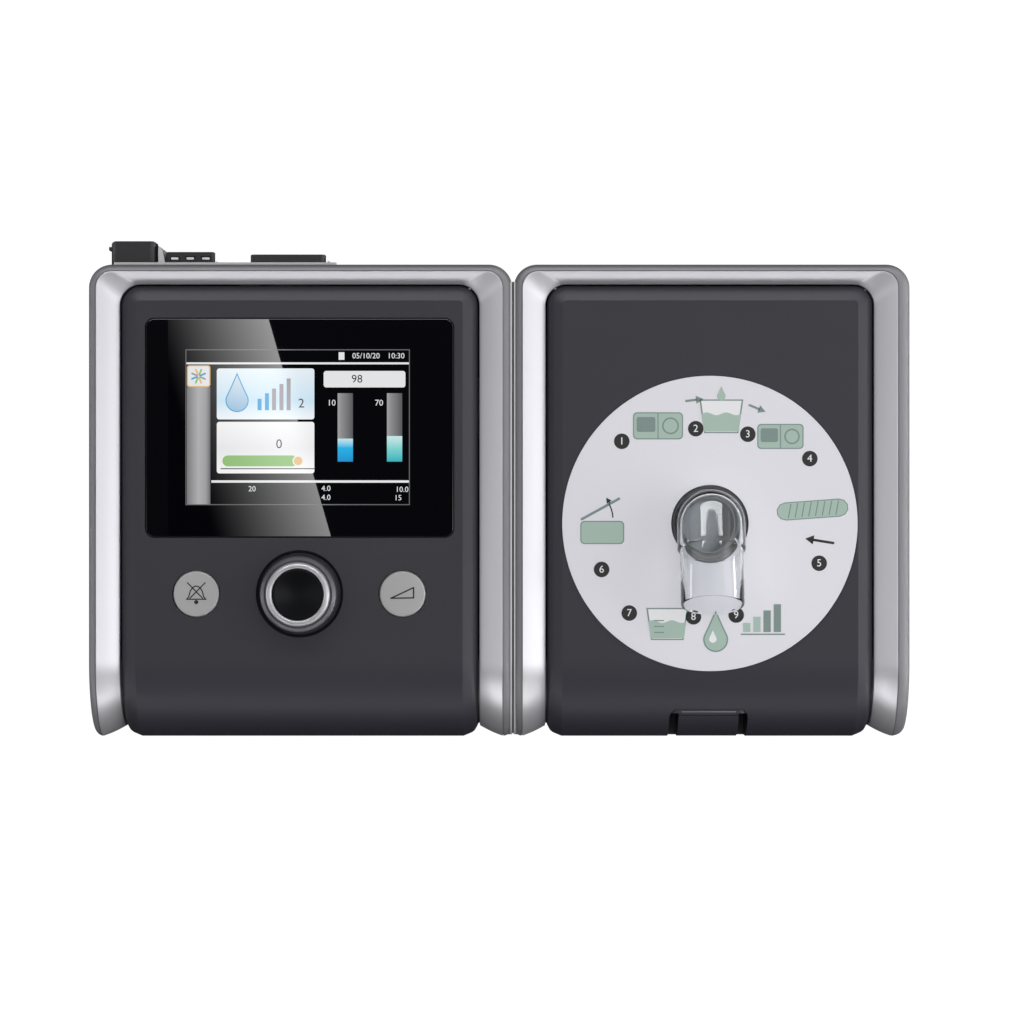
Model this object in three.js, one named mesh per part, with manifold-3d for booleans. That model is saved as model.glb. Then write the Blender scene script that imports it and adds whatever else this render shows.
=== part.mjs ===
// Bilevel positive airway pressure machine: a main unit with a humidifier docked on its right.
// Millimetres, +Z up, front at -Y. The origin is under the middle of the machine, on the table.
import * as THREE from 'three';
import Module from 'manifold-3d';
import { mergeVertices } from 'three/addons/utils/BufferGeometryUtils.js';

const wasm = await Module();
wasm.setup();

// Overall sizes
const overallWidth = 290;
const bodyDepth = 168;
const rearReach = 11;
const bodyTop = 105.5;
const mainWidth = 149.6;
const seam = 0.5;

// Skin of both modules: flat on top, round at the front edge, then straight down
const frontRadius = 28;
const railWidth = 8.2;
const railDrop = 3.8;
const railThickness = 1.8;
const rearBarWidth = 4.8;
const rearBand = 2.5;
const bandDrop = 3;
const mainBandLeft = 3;
const mainBandRight = 3.45;
const wetBandLeft = 3.1;
const wetBandRight = 4.6;
const outerCorner = 8.5;
const crestCorner = 5.7;
const innerCorner = 7.5;
const panelGap = 0.5;
const panelEdge = 5.5;
const panelSkirt = 7;
const panelWall = 3;
const ledgeThickness = 2.5;
const wall = 2.5;

// Clearances
const fit = 0.3;
const slideFit = 0.4;
const overrun = 1;
const weldShare = 0.001;

// Feet, base plates and their screws
const footHeight = 3;
const footRadius = 7;
const footEdge = 0.6;
const footSeat = 1;
const footInset = 14;
const baseThickness = 2.5;
const baseBossHeight = 6;
const postRadius = 4;
const screwInset = 9;
const postHeight = 16;
const screwRadius = 1.5;
const screwLength = 11;
const screwHeadRadius = 2.5;
const screwHeadHeight = 2.2;
const driveRadius = 1.2;
const driveSides = 6;
const driveDepth = 1.2;

// Screen
const screenSideMargin = 8.6;
const screenHeightShare = 0.4589;
const screenPlaceShare = 0.34375;
const screenCorner = 3.2;
const glassThickness = 1.2;
const glassSet = 0.2;
const glassPocket = 1.7;
const displaySideMargin = 10.3;
const displayEndMargin = 7.5;
const displayThickness = 5;
const displayBorder = 3;
const displayRim = 0.3;
const boardThickness = 1.6;
const boardSideMargin = 8.9;
const boardLengthShare = 0.726;
const boardFrontShare = 0.8452;
const boardBossRadius = 3;
const boardBossInset = 4.5;

// Knob and buttons
const controlsPlaceShare = 0.69226;
const buttonSpacing = 36.35;
const buttonRadius = 8;
const buttonGap = 0.5;
const buttonRise = 0.8;
const buttonDome = 0.5;
const buttonTravel = 0.5;
const buttonFlange = 1.4;
const buttonStemRadius = 2;
const switchSize = 6.2;
const switchHeight = 2;
const switchTipRadius = 1.7;
const switchTipHeight = 0.5;
const knobHeight = 12.5;
const knobBaseRadius = 13.5;
const knobTopRadius = 11.4;
const knobRingRadius = 11.25;
const knobRingInner = 9.3;
const knobRingHeight = 2.2;
const knobCapRadius = 9;
const knobCapDish = 0.7;
const knobDishShare = 0.7;
const knobSeatDepth = 2;
const knobTravel = 0.6;
const knobShaftRadius = 3;
const recessRadius = 15.4;
const recessFloorRadius = 14.4;
const encoderSize = 13;
const encoderHeight = 4.6;
const plungerHeight = 1.4;

// Blower
const blowerFromLeft = 62;
const blowerPlaceShare = 0.4524;
const voluteRadius = 41;
const voluteWall = 2;
const voluteBottom = 53;
const voluteTop = 91;
const impellerRadius = 30;
const impellerHeight = 12;
const impellerDisc = 2;
const bladeCount = 11;
const bladeThickness = 1.6;
const hubRadius = 8;
const blowerInletRadius = 15;
const motorRadius = 17;
const motorHeight = 13;
const motorShaftRadius = 2;
const cradleSpread = 24;
const cradlePostRadius = 4;
const mountHeight = 4;
const mountRingRadius = 34;
const mountRingWidth = 6;

// Air path between the modules
const spigotRadius = 11;
const spigotBore = 9.2;
const spigotReach = 20;
const spigotOffset = 26;
const gasketLength = 16;
const gasketWall = 2.2;

// Rear of the main unit
const inletFromLeft = 13.4;
const inletWidth = 16.5;
const inletBottom = 50;
const inletTop = 75;
const inletCorner = 3;
const inletSocketRadius = 3.2;
const inletPinRadius = 1;
const inletSocketDepth = 9;
const portFromLeft = 33.4;
const portWidth = 18;
const portReach = 6.4;
const portSlotCount = 3;
const portSlotWidth = 2.4;
const portSlotDepth = 1.2;
const portSlotFromRear = 1.8;
const portNeckWidth = 10;
const portNeckHeight = 13;
const portNeckReach = 9;
const filterFromLeft = 68;
const filterWidth = 28.5;
const filterBottom = 44;
const filterTop = 85;
const filterCapReach = 4.8;
const filterSlotCount = 6;
const filterSlotHeight = 2.4;
const filterDepth = 12;
const filterBoxDepth = 18;
const filterPlugDepth = 2.4;

// Humidifier lid, hinge and latch
const lidBottom = 42;
const hingeBarrelRadius = 3.5;
const hingeBarrelLength = 12;
const hingePinRadius = 1.5;
const hingeEarLength = 3.5;
const hingePocket = 4;
const hingeInset = 10;
const earDrop = 10.5;
const earRootDrop = 14.5;
const earRootTop = 8;
const earHookTop = 6.4;
const latchTop = 98;
const latchBottom = 70;
const latchOpening = 28;
const latchCorner = 3;
const latchTabWidth = 21.3;
const latchDepth = 9.5;
const latchSink = 0.4;
const latchFloor = 1.8;
const latchWellWall = 1.5;
const latchWellDepth = 12;
const latchArmWidth = 12;
const latchArmDepth = 1.8;
const latchArmHold = 4;
const latchArmBottom = 37.5;
const keeperReach = 7;
const keeperHeight = 2;
const springRadius = 3.4;
const springWire = 0.8;
const springTurns = 5;
const springStepsPerTurn = 8;
const springWireSides = 5;
const springBracketWall = 2.2;
const springBracketFrom = 22;
const springBracketHeight = 20;

// Label, outlet socket and elbow
const elbowPlaceShare = 0.54464;
const labelSideMargin = 5.3;
const labelFrontMargin = 24.4;
const labelThickness = 0.6;
const outletHoleRadius = 13.65;
const socketWall = 1.1;
const elbowRadius = 12;
const elbowBore = 10;
const tubeRadius = 11.1;
const tubeBore = 9.6;
const tubeForward = 28.3;
const tubeRiseDegrees = 20;
const elbowAxisRise = 7.8;
const elbowDomeRise = 11;
const socketDepth = 4;
const sealWidth = 3.4;

// Water chamber and heater
const trayHeight = 36;
const trayThickness = 3;
const heaterPlateSideMargin = 9;
const heaterPlateEndMargin = 21;
const heaterPlateThickness = 2.4;
const heaterBlockMargin = 11;
const heaterBlockHeight = 8;
const chamberFromLeft = 24.9;
const chamberFromRight = 17;
const chamberFromRear = 18;
const chamberFromFront = 28;
const chamberCorner = 9;
const chamberWall = 2;
const chamberSplitDrop = 11;
const chamberTop = 94;
const chamberRim = 2.5;
const chamberSealHeight = 1.6;
const neckHeight = 4;
const neckRadius = 17;
const neckBore = 10;

// Round counts
const cornerSteps = 5;
const frontSteps = 8;
const edgeSteps = 4;
const roundSides = 24;
const smallSides = 12;
const wideSides = 48;

const halfPi = Math.PI / 2;
const frontY = -(bodyDepth + rearReach) / 2;
const rearY = frontY + bodyDepth;
const arcCentreY = frontY + frontRadius;
const arcCentreZ = bodyTop - frontRadius;
const arcStart = rearY - arcCentreY;
const arcLength = frontRadius * halfPi;
const left = -overallWidth / 2;
const right = overallWidth / 2;
const mainRight = left + mainWidth;
const wetLeft = mainRight + seam;
const mainUnit = { left, right: mainRight, bandLeft: mainBandLeft, bandRight: mainBandRight };
const wetUnit = { left: wetLeft, right, bandLeft: wetBandLeft, bandRight: wetBandRight };

// Colours read off the photograph, with how rough and how metallic each finish is
const finishes = {
  shell: { color: 0x6a6a6e, roughness: 0.5, metalness: 0 },
  silver: { color: 0xb9b9bc, roughness: 0.35, metalness: 0.6 },
  panel: { color: 0x37363c, roughness: 0.45, metalness: 0 },
  black: { color: 0x121214, roughness: 0.4, metalness: 0 },
  glass: { color: 0x05050a, roughness: 0.08, metalness: 0 },
  button: { color: 0xa1a1a0, roughness: 0.5, metalness: 0 },
  chrome: { color: 0xd8d8da, roughness: 0.12, metalness: 1 },
  label: { color: 0xd7d7de, roughness: 0.6, metalness: 0 },
  clear: { color: 0xdfe4e6, roughness: 0.05, metalness: 0, transparent: true, opacity: 0.4 },
  board: { color: 0x1f5a34, roughness: 0.6, metalness: 0 },
  rubber: { color: 0x202022, roughness: 0.9, metalness: 0 },
  softRubber: { color: 0x8c8f92, roughness: 0.85, metalness: 0 },
  inner: { color: 0xc9cacb, roughness: 0.6, metalness: 0 },
  steel: { color: 0x9c9ea0, roughness: 0.3, metalness: 1 },
  aluminium: { color: 0xb4b6b8, roughness: 0.35, metalness: 1 },
  foam: { color: 0x3c3e42, roughness: 1, metalness: 0 },
};

// A three.js geometry as a solid for joining and cutting
function solid(geometry) {
  const bare = geometry.index ? geometry.toNonIndexed() : geometry.clone();
  for (const name of Object.keys(bare.attributes)) if (name !== 'position') bare.deleteAttribute(name);
  const merged = mergeVertices(bare, fit * weldShare);
  const vertProperties = new Float32Array(merged.attributes.position.array);
  const triVerts = new Uint32Array(merged.index.array);
  return new wasm.Manifold(new wasm.Mesh({ numProp: 3, vertProperties, triVerts }));
}

// A named mesh from a solid, placed at a point
function piece(name, finish, body, place = [0, 0, 0]) {
  const { vertProperties, triVerts } = body.getMesh();
  const geometry = new THREE.BufferGeometry();
  geometry.setAttribute('position', new THREE.BufferAttribute(new Float32Array(vertProperties), 3));
  geometry.setIndex(new THREE.BufferAttribute(new Uint32Array(triVerts), 1));
  geometry.computeVertexNormals();
  const mesh = new THREE.Mesh(geometry, new THREE.MeshStandardMaterial(finishes[finish]));
  mesh.name = name;
  mesh.position.set(...place);
  return mesh;
}

// Joined solids, from a list
function joined(parts) {
  return parts.reduce((whole, next) => whole.add(next));
}

// A box between two corners
function box([x0, y0, z0], [x1, y1, z1]) {
  const geometry = new THREE.BoxGeometry(x1 - x0, y1 - y0, z1 - z0);
  return solid(geometry.translate((x0 + x1) / 2, (y0 + y1) / 2, (z0 + z1) / 2));
}

// A round bar along Z, X or Y, from one end to the other
function bar(axis, [x, y, z], radius, length, sides = smallSides) {
  const geometry = new THREE.CylinderGeometry(radius, radius, length, sides).translate(0, length / 2, 0);
  if (axis === 'z') geometry.rotateX(halfPi);
  if (axis === 'x') geometry.rotateZ(-halfPi);
  return solid(geometry.translate(x, y, z));
}

// A solid of revolution about Z, from a closed outline of radius and height
function turned(outline, sides = roundSides) {
  const points = outline.map(([radius, height]) => new THREE.Vector2(radius, height));
  const first = points[0];
  const onAxis = first.x === 0 && points[points.length - 1].x === 0;
  if (!onAxis) points.push(first.clone());
  return solid(new THREE.LatheGeometry(points, sides).rotateX(halfPi));
}

// A tube along Z
function ring(outer, inner, bottom, top, sides = roundSides) {
  return turned([[inner, bottom], [outer, bottom], [outer, top], [inner, top]], sides);
}

// A rectangle with round corners about the origin
function roundedRectangle(width, height, radius) {
  const shape = new THREE.Shape();
  const [w, h] = [width / 2, height / 2];
  shape.moveTo(-w + radius, -h);
  shape.lineTo(w - radius, -h);
  shape.absarc(w - radius, -h + radius, radius, -halfPi, 0, false);
  shape.lineTo(w, h - radius);
  shape.absarc(w - radius, h - radius, radius, 0, halfPi, false);
  shape.lineTo(-w + radius, h);
  shape.absarc(-w + radius, h - radius, radius, halfPi, Math.PI, false);
  shape.lineTo(-w, -h + radius);
  shape.absarc(-w + radius, -h + radius, radius, Math.PI, Math.PI + halfPi, false);
  return shape;
}

// A flat shape made thick, upwards from a height
function plate(shape, bottom, thickness) {
  const geometry = new THREE.ExtrudeGeometry(shape, {
    depth: thickness, bevelEnabled: false, curveSegments: cornerSteps,
  });
  return solid(geometry.translate(0, 0, bottom));
}

// A closed outline in Y and Z made thick along X
function sidePlate(points, from, thickness) {
  const shape = new THREE.Shape(points.map(([y, z]) => new THREE.Vector2(y, z)));
  const geometry = new THREE.ExtrudeGeometry(shape, { depth: thickness, bevelEnabled: false });
  geometry.applyMatrix4(new THREE.Matrix4().set(0, 0, 1, from, 1, 0, 0, 0, 0, 1, 0, 0, 0, 0, 0, 1));
  return solid(geometry);
}

// A point of the skin, from its X, its way from the rear edge over the front, and its lift above it
function onSkin(x, along, lift) {
  if (along <= arcStart) return [x, rearY - along, bodyTop + lift];
  const turn = (along - arcStart) / frontRadius;
  if (turn >= halfPi) return [x, frontY - lift, arcCentreZ - (along - arcStart - arcLength)];
  const reach = frontRadius + lift;
  return [x, arcCentreY - reach * Math.sin(turn), arcCentreZ + reach * Math.cos(turn)];
}

// The two sides of a ring that runs up the front, back along the top and round the rear corners
function ringSides({ left: x0, right: x1, rear, corner, lift }, bottom) {
  const sides = [[], []];
  const add = (x, along) => {
    sides[0].push(onSkin(x0 + x, along, lift));
    sides[1].push(onSkin(x1 - x, along, lift));
  };
  add(0, arcStart + arcLength + arcCentreZ - bottom);
  for (let step = frontSteps; step >= 0; step--) add(0, arcStart + (step / frontSteps) * arcLength);
  for (let step = 0; step <= cornerSteps; step++) {
    const turn = (step / cornerSteps) * halfPi;
    add(corner * (1 - Math.cos(turn)), rear + corner * (1 - Math.sin(turn)));
  }
  return sides;
}

// Gathers corners and faces, and turns a face list into a solid with its faces outwards
class Faces {
  constructor() {
    this.positions = [];
  }
  triangle(a, b, c) {
    this.positions.push(...a, ...b, ...c);
  }
  quad(a, b, c, d) {
    this.triangle(a, b, c);
    this.triangle(a, c, d);
  }
  // A flat face that looks down, from its outline seen in X and Y
  down(outline) {
    const flat = outline.map(([x, y]) => new THREE.Vector2(x, y));
    const turnsLeft = THREE.ShapeUtils.area(flat) > 0;
    for (const [a, b, c] of THREE.ShapeUtils.triangulateShape(flat, [])) {
      const area = THREE.ShapeUtils.area([flat[a], flat[b], flat[c]]);
      if ((area > 0) === turnsLeft) this.triangle(outline[a], outline[b], outline[c]);
      else this.triangle(outline[a], outline[c], outline[b]);
    }
  }
  strip(upper, lower) {
    const last = upper[0].length - 1;
    for (let i = 0; i < last; i++) {
      this.quad(upper[0][i], upper[0][i + 1], lower[0][i + 1], lower[0][i]);
      this.quad(upper[1][i + 1], upper[1][i], lower[1][i], lower[1][i + 1]);
    }
    this.quad(upper[0][last], upper[1][last], lower[1][last], lower[0][last]);
  }
  cap([near, far], faceUp) {
    for (let i = 0; i < near.length - 1; i++) {
      if (faceUp) this.quad(near[i], far[i], far[i + 1], near[i + 1]);
      else this.quad(near[i + 1], far[i + 1], far[i], near[i]);
    }
  }
  solid() {
    const geometry = new THREE.BufferGeometry();
    geometry.setAttribute('position', new THREE.Float32BufferAttribute(this.positions, 3));
    return solid(geometry);
  }
}

// A shell that follows the skin: rings run from its top face over its edge to its underside
function skinShell(rings, bottom) {
  const faces = new Faces();
  const all = rings.map((each) => ringSides(each, bottom));
  faces.cap(all[0], true);
  for (let k = 0; k + 1 < all.length; k++) faces.strip(all[k], all[k + 1]);
  faces.cap(all[all.length - 1], false);
  const starts = (side) => all.map((sides) => sides[side][0]);
  faces.down([...starts(1).reverse(), ...starts(0)]);
  return faces.solid();
}

// A strip that follows the skin as a U, from a closed loop of rings
function skinStrip(rings, bottom) {
  const faces = new Faces();
  const all = rings.map((each) => ringSides(each, bottom));
  all.forEach((sides, k) => faces.strip(sides, all[(k + 1) % all.length]));
  faces.down(all.map((sides) => sides[0][0]));
  faces.down(all.map((sides) => sides[1][0]).reverse());
  return faces.solid();
}

// A full block under the skin, down to a height: rings run from the top face outwards
function skinBlock(rings, bottom) {
  const faces = new Faces();
  const all = rings.map((each) => ringSides(each, bottom));
  faces.cap(all[0], true);
  for (let k = 0; k + 1 < all.length; k++) faces.strip(all[k], all[k + 1]);
  const outer = all[all.length - 1];
  const feet = outer.map((side) => side.map(([x, y]) => [x, y, bottom]));
  const last = outer[0].length - 1;
  for (let i = 1; i < last; i++) {
    faces.quad(outer[0][i], outer[0][i + 1], feet[0][i + 1], feet[0][i]);
    faces.quad(outer[1][i + 1], outer[1][i], feet[1][i], feet[1][i + 1]);
  }
  faces.quad(outer[0][last], outer[1][last], feet[1][last], feet[0][last]);
  const starts = (side) => all.slice(0, -1).map((sides) => sides[side][0]);
  faces.down([
    outer[0][0], ...feet[0].slice(2), ...feet[1].slice(2).reverse(), outer[1][0],
    ...starts(1).reverse(), ...starts(0),
  ]);
  return faces.solid();
}

// A ring at a way in from the module's crest line, where the silver frame starts
function crestRing(unit, inwards, rearInwards, corner, lift) {
  return {
    left: unit.left + unit.bandLeft + inwards,
    right: unit.right - unit.bandRight - inwards,
    rear: rearBand + rearInwards,
    corner,
    lift,
  };
}

// A ring on the round outer edge, at a share of the quarter turn from the side to the crest
function bandRing(unit, share) {
  const inwards = 1 - Math.cos(share * halfPi);
  return {
    left: unit.left + unit.bandLeft * inwards,
    right: unit.right - unit.bandRight * inwards,
    rear: rearBand * inwards,
    corner: outerCorner + (crestCorner - outerCorner) * share,
    lift: bandDrop * (Math.sin(share * halfPi) - 1),
  };
}

// A ring of the dark panel, inwards from its side, at a lift above the top
function panelRing(unit, inwards, lift) {
  const corner = Math.max(innerCorner - panelGap - inwards, panelGap);
  return crestRing(unit, railWidth + panelGap + inwards, rearBarWidth + panelGap + inwards, corner, lift);
}

// The panel's rings from the flat top over the round edge, down the skirt and back under
function panelRings(unit) {
  const rings = [];
  for (let step = edgeSteps; step >= 0; step--) {
    const turn = (step / edgeSteps) * halfPi;
    rings.push(panelRing(unit, panelEdge * (1 - Math.cos(turn)), panelEdge * (Math.sin(turn) - 1)));
  }
  rings.push(panelRing(unit, 0, -panelSkirt));
  rings.push(panelRing(unit, panelWall, -panelSkirt));
  rings.push(panelRing(unit, panelWall + panelGap, -panelWall - panelGap));
  rings.push(panelRing(unit, panelWall + panelGap * 2, -panelWall));
  return rings;
}

// Side and rear walls of a module with the ledge that carries its silver frame
function housing(unit) {
  const drop = railThickness + fit;
  const rings = [
    crestRing(unit, railWidth, rearBarWidth, innerCorner, -railDrop - drop),
    crestRing(unit, -fit, -fit, crestCorner + fit, -drop),
    crestRing(unit, -fit, -fit, crestCorner + fit, 0),
  ];
  for (let step = edgeSteps - 1; step >= 0; step--) rings.push(bandRing(unit, step / edgeSteps));
  const hollow = {
    left: unit.left + wall, right: unit.right - wall, rear: wall, corner: outerCorner - wall,
    lift: -railDrop - drop - ledgeThickness,
  };
  const mouth = crestRing(unit, railWidth, rearBarWidth, innerCorner, overrun);
  return skinBlock(rings, footHeight)
    .subtract(skinBlock([hollow], footHeight - overrun))
    .subtract(skinBlock([mouth], footHeight - overrun));
}

// Silver frame: a bevel that falls from the crest to the panel, round three sides and down the front
function frame(unit) {
  return skinStrip([
    crestRing(unit, railWidth, rearBarWidth, innerCorner, -railDrop),
    crestRing(unit, 0, 0, crestCorner, 0),
    crestRing(unit, 0, 0, crestCorner, -railThickness),
    crestRing(unit, railWidth, rearBarWidth, innerCorner, -railDrop - railThickness),
  ], footHeight);
}

// Four places near a module's corners, in from its sides
function baseCorners(unit, inset) {
  const xs = [unit.left + inset, unit.right - inset];
  const ys = [frontY + inset + frontRadius / 2, rearY - inset];
  return xs.flatMap((x) => ys.map((y) => [x, y]));
}

// The two opposite corners that are screwed together
function screwPlaces(unit) {
  const corners = baseCorners(unit, screwInset);
  return [corners[0], corners[corners.length - 1]];
}

// Posts inside the housing that the base screws go into
function posts(unit) {
  const bottom = footHeight + baseBossHeight + fit;
  return joined(screwPlaces(unit).map(([x, y]) => {
    const edge = x < (unit.left + unit.right) / 2 ? unit.left + wall - fit : unit.right - wall + fit;
    const web = box(
      [Math.min(x, edge), y - wall / 2, bottom],
      [Math.max(x, edge), y + wall / 2, bottom + postHeight],
    );
    const pilot = bar('z', [x, y, bottom - overrun], screwRadius + fit, screwLength);
    return bar('z', [x, y, bottom], postRadius, postHeight).add(web).subtract(pilot);
  }));
}

// Base plate with screw bosses and shallow seats for the feet
function basePlate(unit) {
  const front = frontY + railDrop + railThickness + fit + ledgeThickness + fit;
  const bottom = footHeight;
  const top = footHeight + baseThickness;
  const inner = wall + fit;
  const mouth = panelRing(unit, panelWall + panelGap * 2 + fit, 0);
  const tongue = frontY + panelWall + fit;
  let base = box([unit.left + inner, front, bottom], [unit.right - inner, rearY - inner, top])
    .add(box([mouth.left, tongue, bottom], [mouth.right, front + overrun, top]));
  for (const [x, y] of screwPlaces(unit)) {
    base = base.add(bar('z', [x, y, bottom], postRadius, baseBossHeight));
    const hole = bar('z', [x, y, bottom - overrun], screwRadius + fit, baseBossHeight + overrun * 2);
    const sink = bar('z', [x, y, bottom - overrun], screwHeadRadius + fit,
      screwHeadHeight + fit * 2 + overrun);
    base = base.subtract(hole).subtract(sink);
  }
  for (const [x, y] of baseCorners(unit, footInset + footRadius)) {
    base = base.subtract(bar('z', [x, y, bottom - overrun], footRadius + fit, footSeat + overrun));
  }
  return base.intersect(skinBlock([{
    left: unit.left + inner, right: unit.right - inner, rear: inner, corner: outerCorner - inner, lift: 0,
  }], bottom - overrun));
}

// A pan head screw, head down, standing on the underside of its head
function screw() {
  const body = turned([
    [0, 0], [screwHeadRadius, 0], [screwHeadRadius, screwHeadHeight],
    [screwRadius, screwHeadHeight], [screwRadius, screwLength], [0, screwLength],
  ], smallSides);
  return body.subtract(bar('z', [0, 0, -overrun], driveRadius, driveDepth + overrun, driveSides));
}

// A rubber foot with a soft lower edge
function foot() {
  const top = footHeight + footSeat - fit;
  return turned([
    [0, 0], [footRadius - footEdge, 0], [footRadius, footEdge], [footRadius, top], [0, top],
  ], smallSides);
}

// Feet and screws of one module
function feetAndScrews(unit, name) {
  const group = new THREE.Group();
  baseCorners(unit, footInset + footRadius).forEach(([x, y], i) => {
    group.add(piece(`${name}_foot_${i + 1}`, 'rubber', foot(), [x, y, 0]));
  });
  screwPlaces(unit).forEach(([x, y], i) => {
    group.add(piece(`${name}_base_screw_${i + 1}`, 'steel', screw(), [x, y, footHeight + fit]));
  });
  return group;
}

// Places in the main unit
const mainCentre = (panelRing(mainUnit, 0, 0).left + panelRing(mainUnit, 0, 0).right) / 2;
const mainPanelWidth = panelRing(mainUnit, 0, 0).right - panelRing(mainUnit, 0, 0).left;
const lidCentre = (panelRing(wetUnit, 0, 0).left + panelRing(wetUnit, 0, 0).right) / 2;
const lidWidth = panelRing(wetUnit, 0, 0).right - panelRing(wetUnit, 0, 0).left;
const controlsY = rearY - bodyDepth * controlsPlaceShare;
const screenY = rearY - bodyDepth * screenPlaceShare;
const screenWidth = mainPanelWidth - screenSideMargin * 2;
const screenHeight = bodyDepth * screenHeightShare;
const displayWidth = screenWidth - displaySideMargin * 2;
const displayHeight = screenHeight - displayEndMargin * 2;
const boardWidth = mainPanelWidth - boardSideMargin * 2;
const boardLength = bodyDepth * boardLengthShare;
const underPanel = bodyTop - panelWall;
const displayTop = underPanel - fit;
const boardTop = displayTop - displayThickness - fit;
const boardFront = rearY - bodyDepth * boardFrontShare;
const boardRear = boardFront + boardLength;
const blowerX = left + blowerFromLeft;
const blowerY = rearY - bodyDepth * blowerPlaceShare;
const spigotY = blowerY + spigotOffset;
const spigotHeight = (voluteBottom + voluteTop) / 2;
const chamberSplit = spigotHeight - chamberSplitDrop;
const inletX = left + inletFromLeft;
const portX = left + portFromLeft;
const filterX = left + filterFromLeft;

// Places in the humidifier
const hinge = { y: panelY(0) - panelEdge, z: bodyTop - panelEdge };
const elbowX = lidCentre;
const elbowY = rearY - bodyDepth * elbowPlaceShare;
const labelRadius = Math.min(lidWidth / 2 - labelSideMargin, elbowY - frontY - labelFrontMargin);
const chamberLeft = wetLeft + chamberFromLeft;
const chamberWidth = right - chamberFromRight - chamberLeft;
const chamberLength = bodyDepth - chamberFromRear - chamberFromFront;
const chamberX = chamberLeft + chamberWidth / 2;
const chamberY = rearY - chamberFromRear - chamberLength / 2;
const heaterHalfWidth = chamberWidth / 2 - heaterPlateSideMargin;
const heaterHalfLength = chamberLength / 2 - heaterPlateEndMargin;
const chamberBottom = trayHeight + heaterPlateThickness / 2 + fit;
const pinLength = hingeBarrelLength + hingeEarLength + fit;
const hingeSides = [-1, 1].map((side) => {
  const edge = side < 0 ? panelRing(wetUnit, panelWall + hingeInset, 0).left
    : panelRing(wetUnit, panelWall + hingeInset, 0).right;
  return { side, edge };
});

// The Y of the panel's rear edge, at a way in from it
function panelY(inwards) {
  return rearY - rearBand - rearBarWidth - panelGap - inwards;
}

// A length along X that starts at a place and runs towards one side
function span(from, side, length) {
  return side > 0 ? [from, from + length] : [from - length, from];
}

// Main housing with its air outlet and the three holes in its rear wall
function mainHousing() {
  const outlet = bar('x', [mainRight - wall * 2, spigotY, spigotHeight], spigotRadius + fit,
    wall * 2 + overrun, roundSides);
  const neckHole = (x) => {
    const reach = portNeckWidth / 2 + fit;
    const middle = (inletBottom + inletTop) / 2;
    return box([x - reach, rearY - wall * 2, middle - portNeckHeight / 2 - fit],
      [x + reach, rearY + overrun, middle + portNeckHeight / 2 + fit]);
  };
  const plug = filterPlug(slideFit);
  const air = box([filterX - plug.x, rearY - wall * 2, plug.bottom],
    [filterX + plug.x, rearY + overrun, plug.top]);
  return housing(mainUnit).add(posts(mainUnit)).subtract(outlet)
    .subtract(neckHole(inletX)).subtract(neckHole(portX)).subtract(air);
}

// Half width, bottom and top of the filter cap's plug, grown by a clearance
function filterPlug(grown) {
  return {
    x: filterWidth / 2 - filterPlugDepth + grown,
    bottom: filterBottom + filterPlugDepth - grown,
    top: filterTop - filterPlugDepth + grown,
  };
}

// Dark panel of the main unit with the screen pocket, the button holes and the knob's recess
function mainPanel() {
  let body = skinShell(panelRings(mainUnit), footHeight);
  const pocket = roundedRectangle(screenWidth + fit * 2, screenHeight + fit * 2, screenCorner + fit);
  body = body.subtract(plate(pocket, bodyTop - glassPocket, glassPocket + overrun)
    .translate([mainCentre, screenY, 0]));
  const windowX = (displayWidth - displayBorder * 2) / 2;
  const windowY = (displayHeight - displayBorder * 2) / 2;
  body = body.subtract(box([mainCentre - windowX, screenY - windowY, underPanel - overrun],
    [mainCentre + windowX, screenY + windowY, bodyTop]));
  for (const side of [-1, 1]) {
    const place = [mainCentre + side * buttonSpacing, controlsY, underPanel - overrun];
    body = body.subtract(bar('z', place, buttonRadius + buttonGap, panelWall + overrun * 2, roundSides));
  }
  const recess = turned([
    [0, bodyTop - knobSeatDepth], [recessFloorRadius, bodyTop - knobSeatDepth],
    [recessRadius, bodyTop], [recessRadius, bodyTop + overrun], [0, bodyTop + overrun],
  ]);
  body = body.subtract(recess.translate([mainCentre, controlsY, 0]));
  const shaft = bar('z', [mainCentre, controlsY, underPanel - overrun], knobShaftRadius + slideFit,
    panelWall + overrun);
  body = body.subtract(shaft);
  const bosses = boardCorners().map(([x, y]) => (
    bar('z', [x, y, boardTop + fit], boardBossRadius, underPanel - boardTop)));
  return body.add(joined(bosses));
}

// Corners of the main board where the panel's bosses meet it
function boardCorners() {
  const reach = boardWidth / 2 - boardBossInset;
  return [-reach, reach].flatMap((x) => (
    [boardFront + boardBossInset, boardRear - boardBossInset].map((y) => [mainCentre + x, y])));
}

// Base of the main unit with the four posts that carry the blower
function mainBase() {
  const posts = [-cradleSpread, cradleSpread].flatMap((x) => [-cradleSpread, cradleSpread].map((y) => (
    bar('z', [blowerX + x, blowerY + y, footHeight], cradlePostRadius,
      voluteBottom - mountHeight - fit * 2 - footHeight))));
  return basePlate(mainUnit).add(joined(posts));
}

// Display with a thin raised rim
function display() {
  const [x, y] = [displayWidth / 2, displayHeight / 2];
  const [innerX, innerY] = [x - displayBorder, y - displayBorder];
  return box([-x, -y, -displayThickness], [x, y, 0])
    .subtract(box([-innerX, -innerY, -displayRim], [innerX, innerY, overrun]));
}

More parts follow.
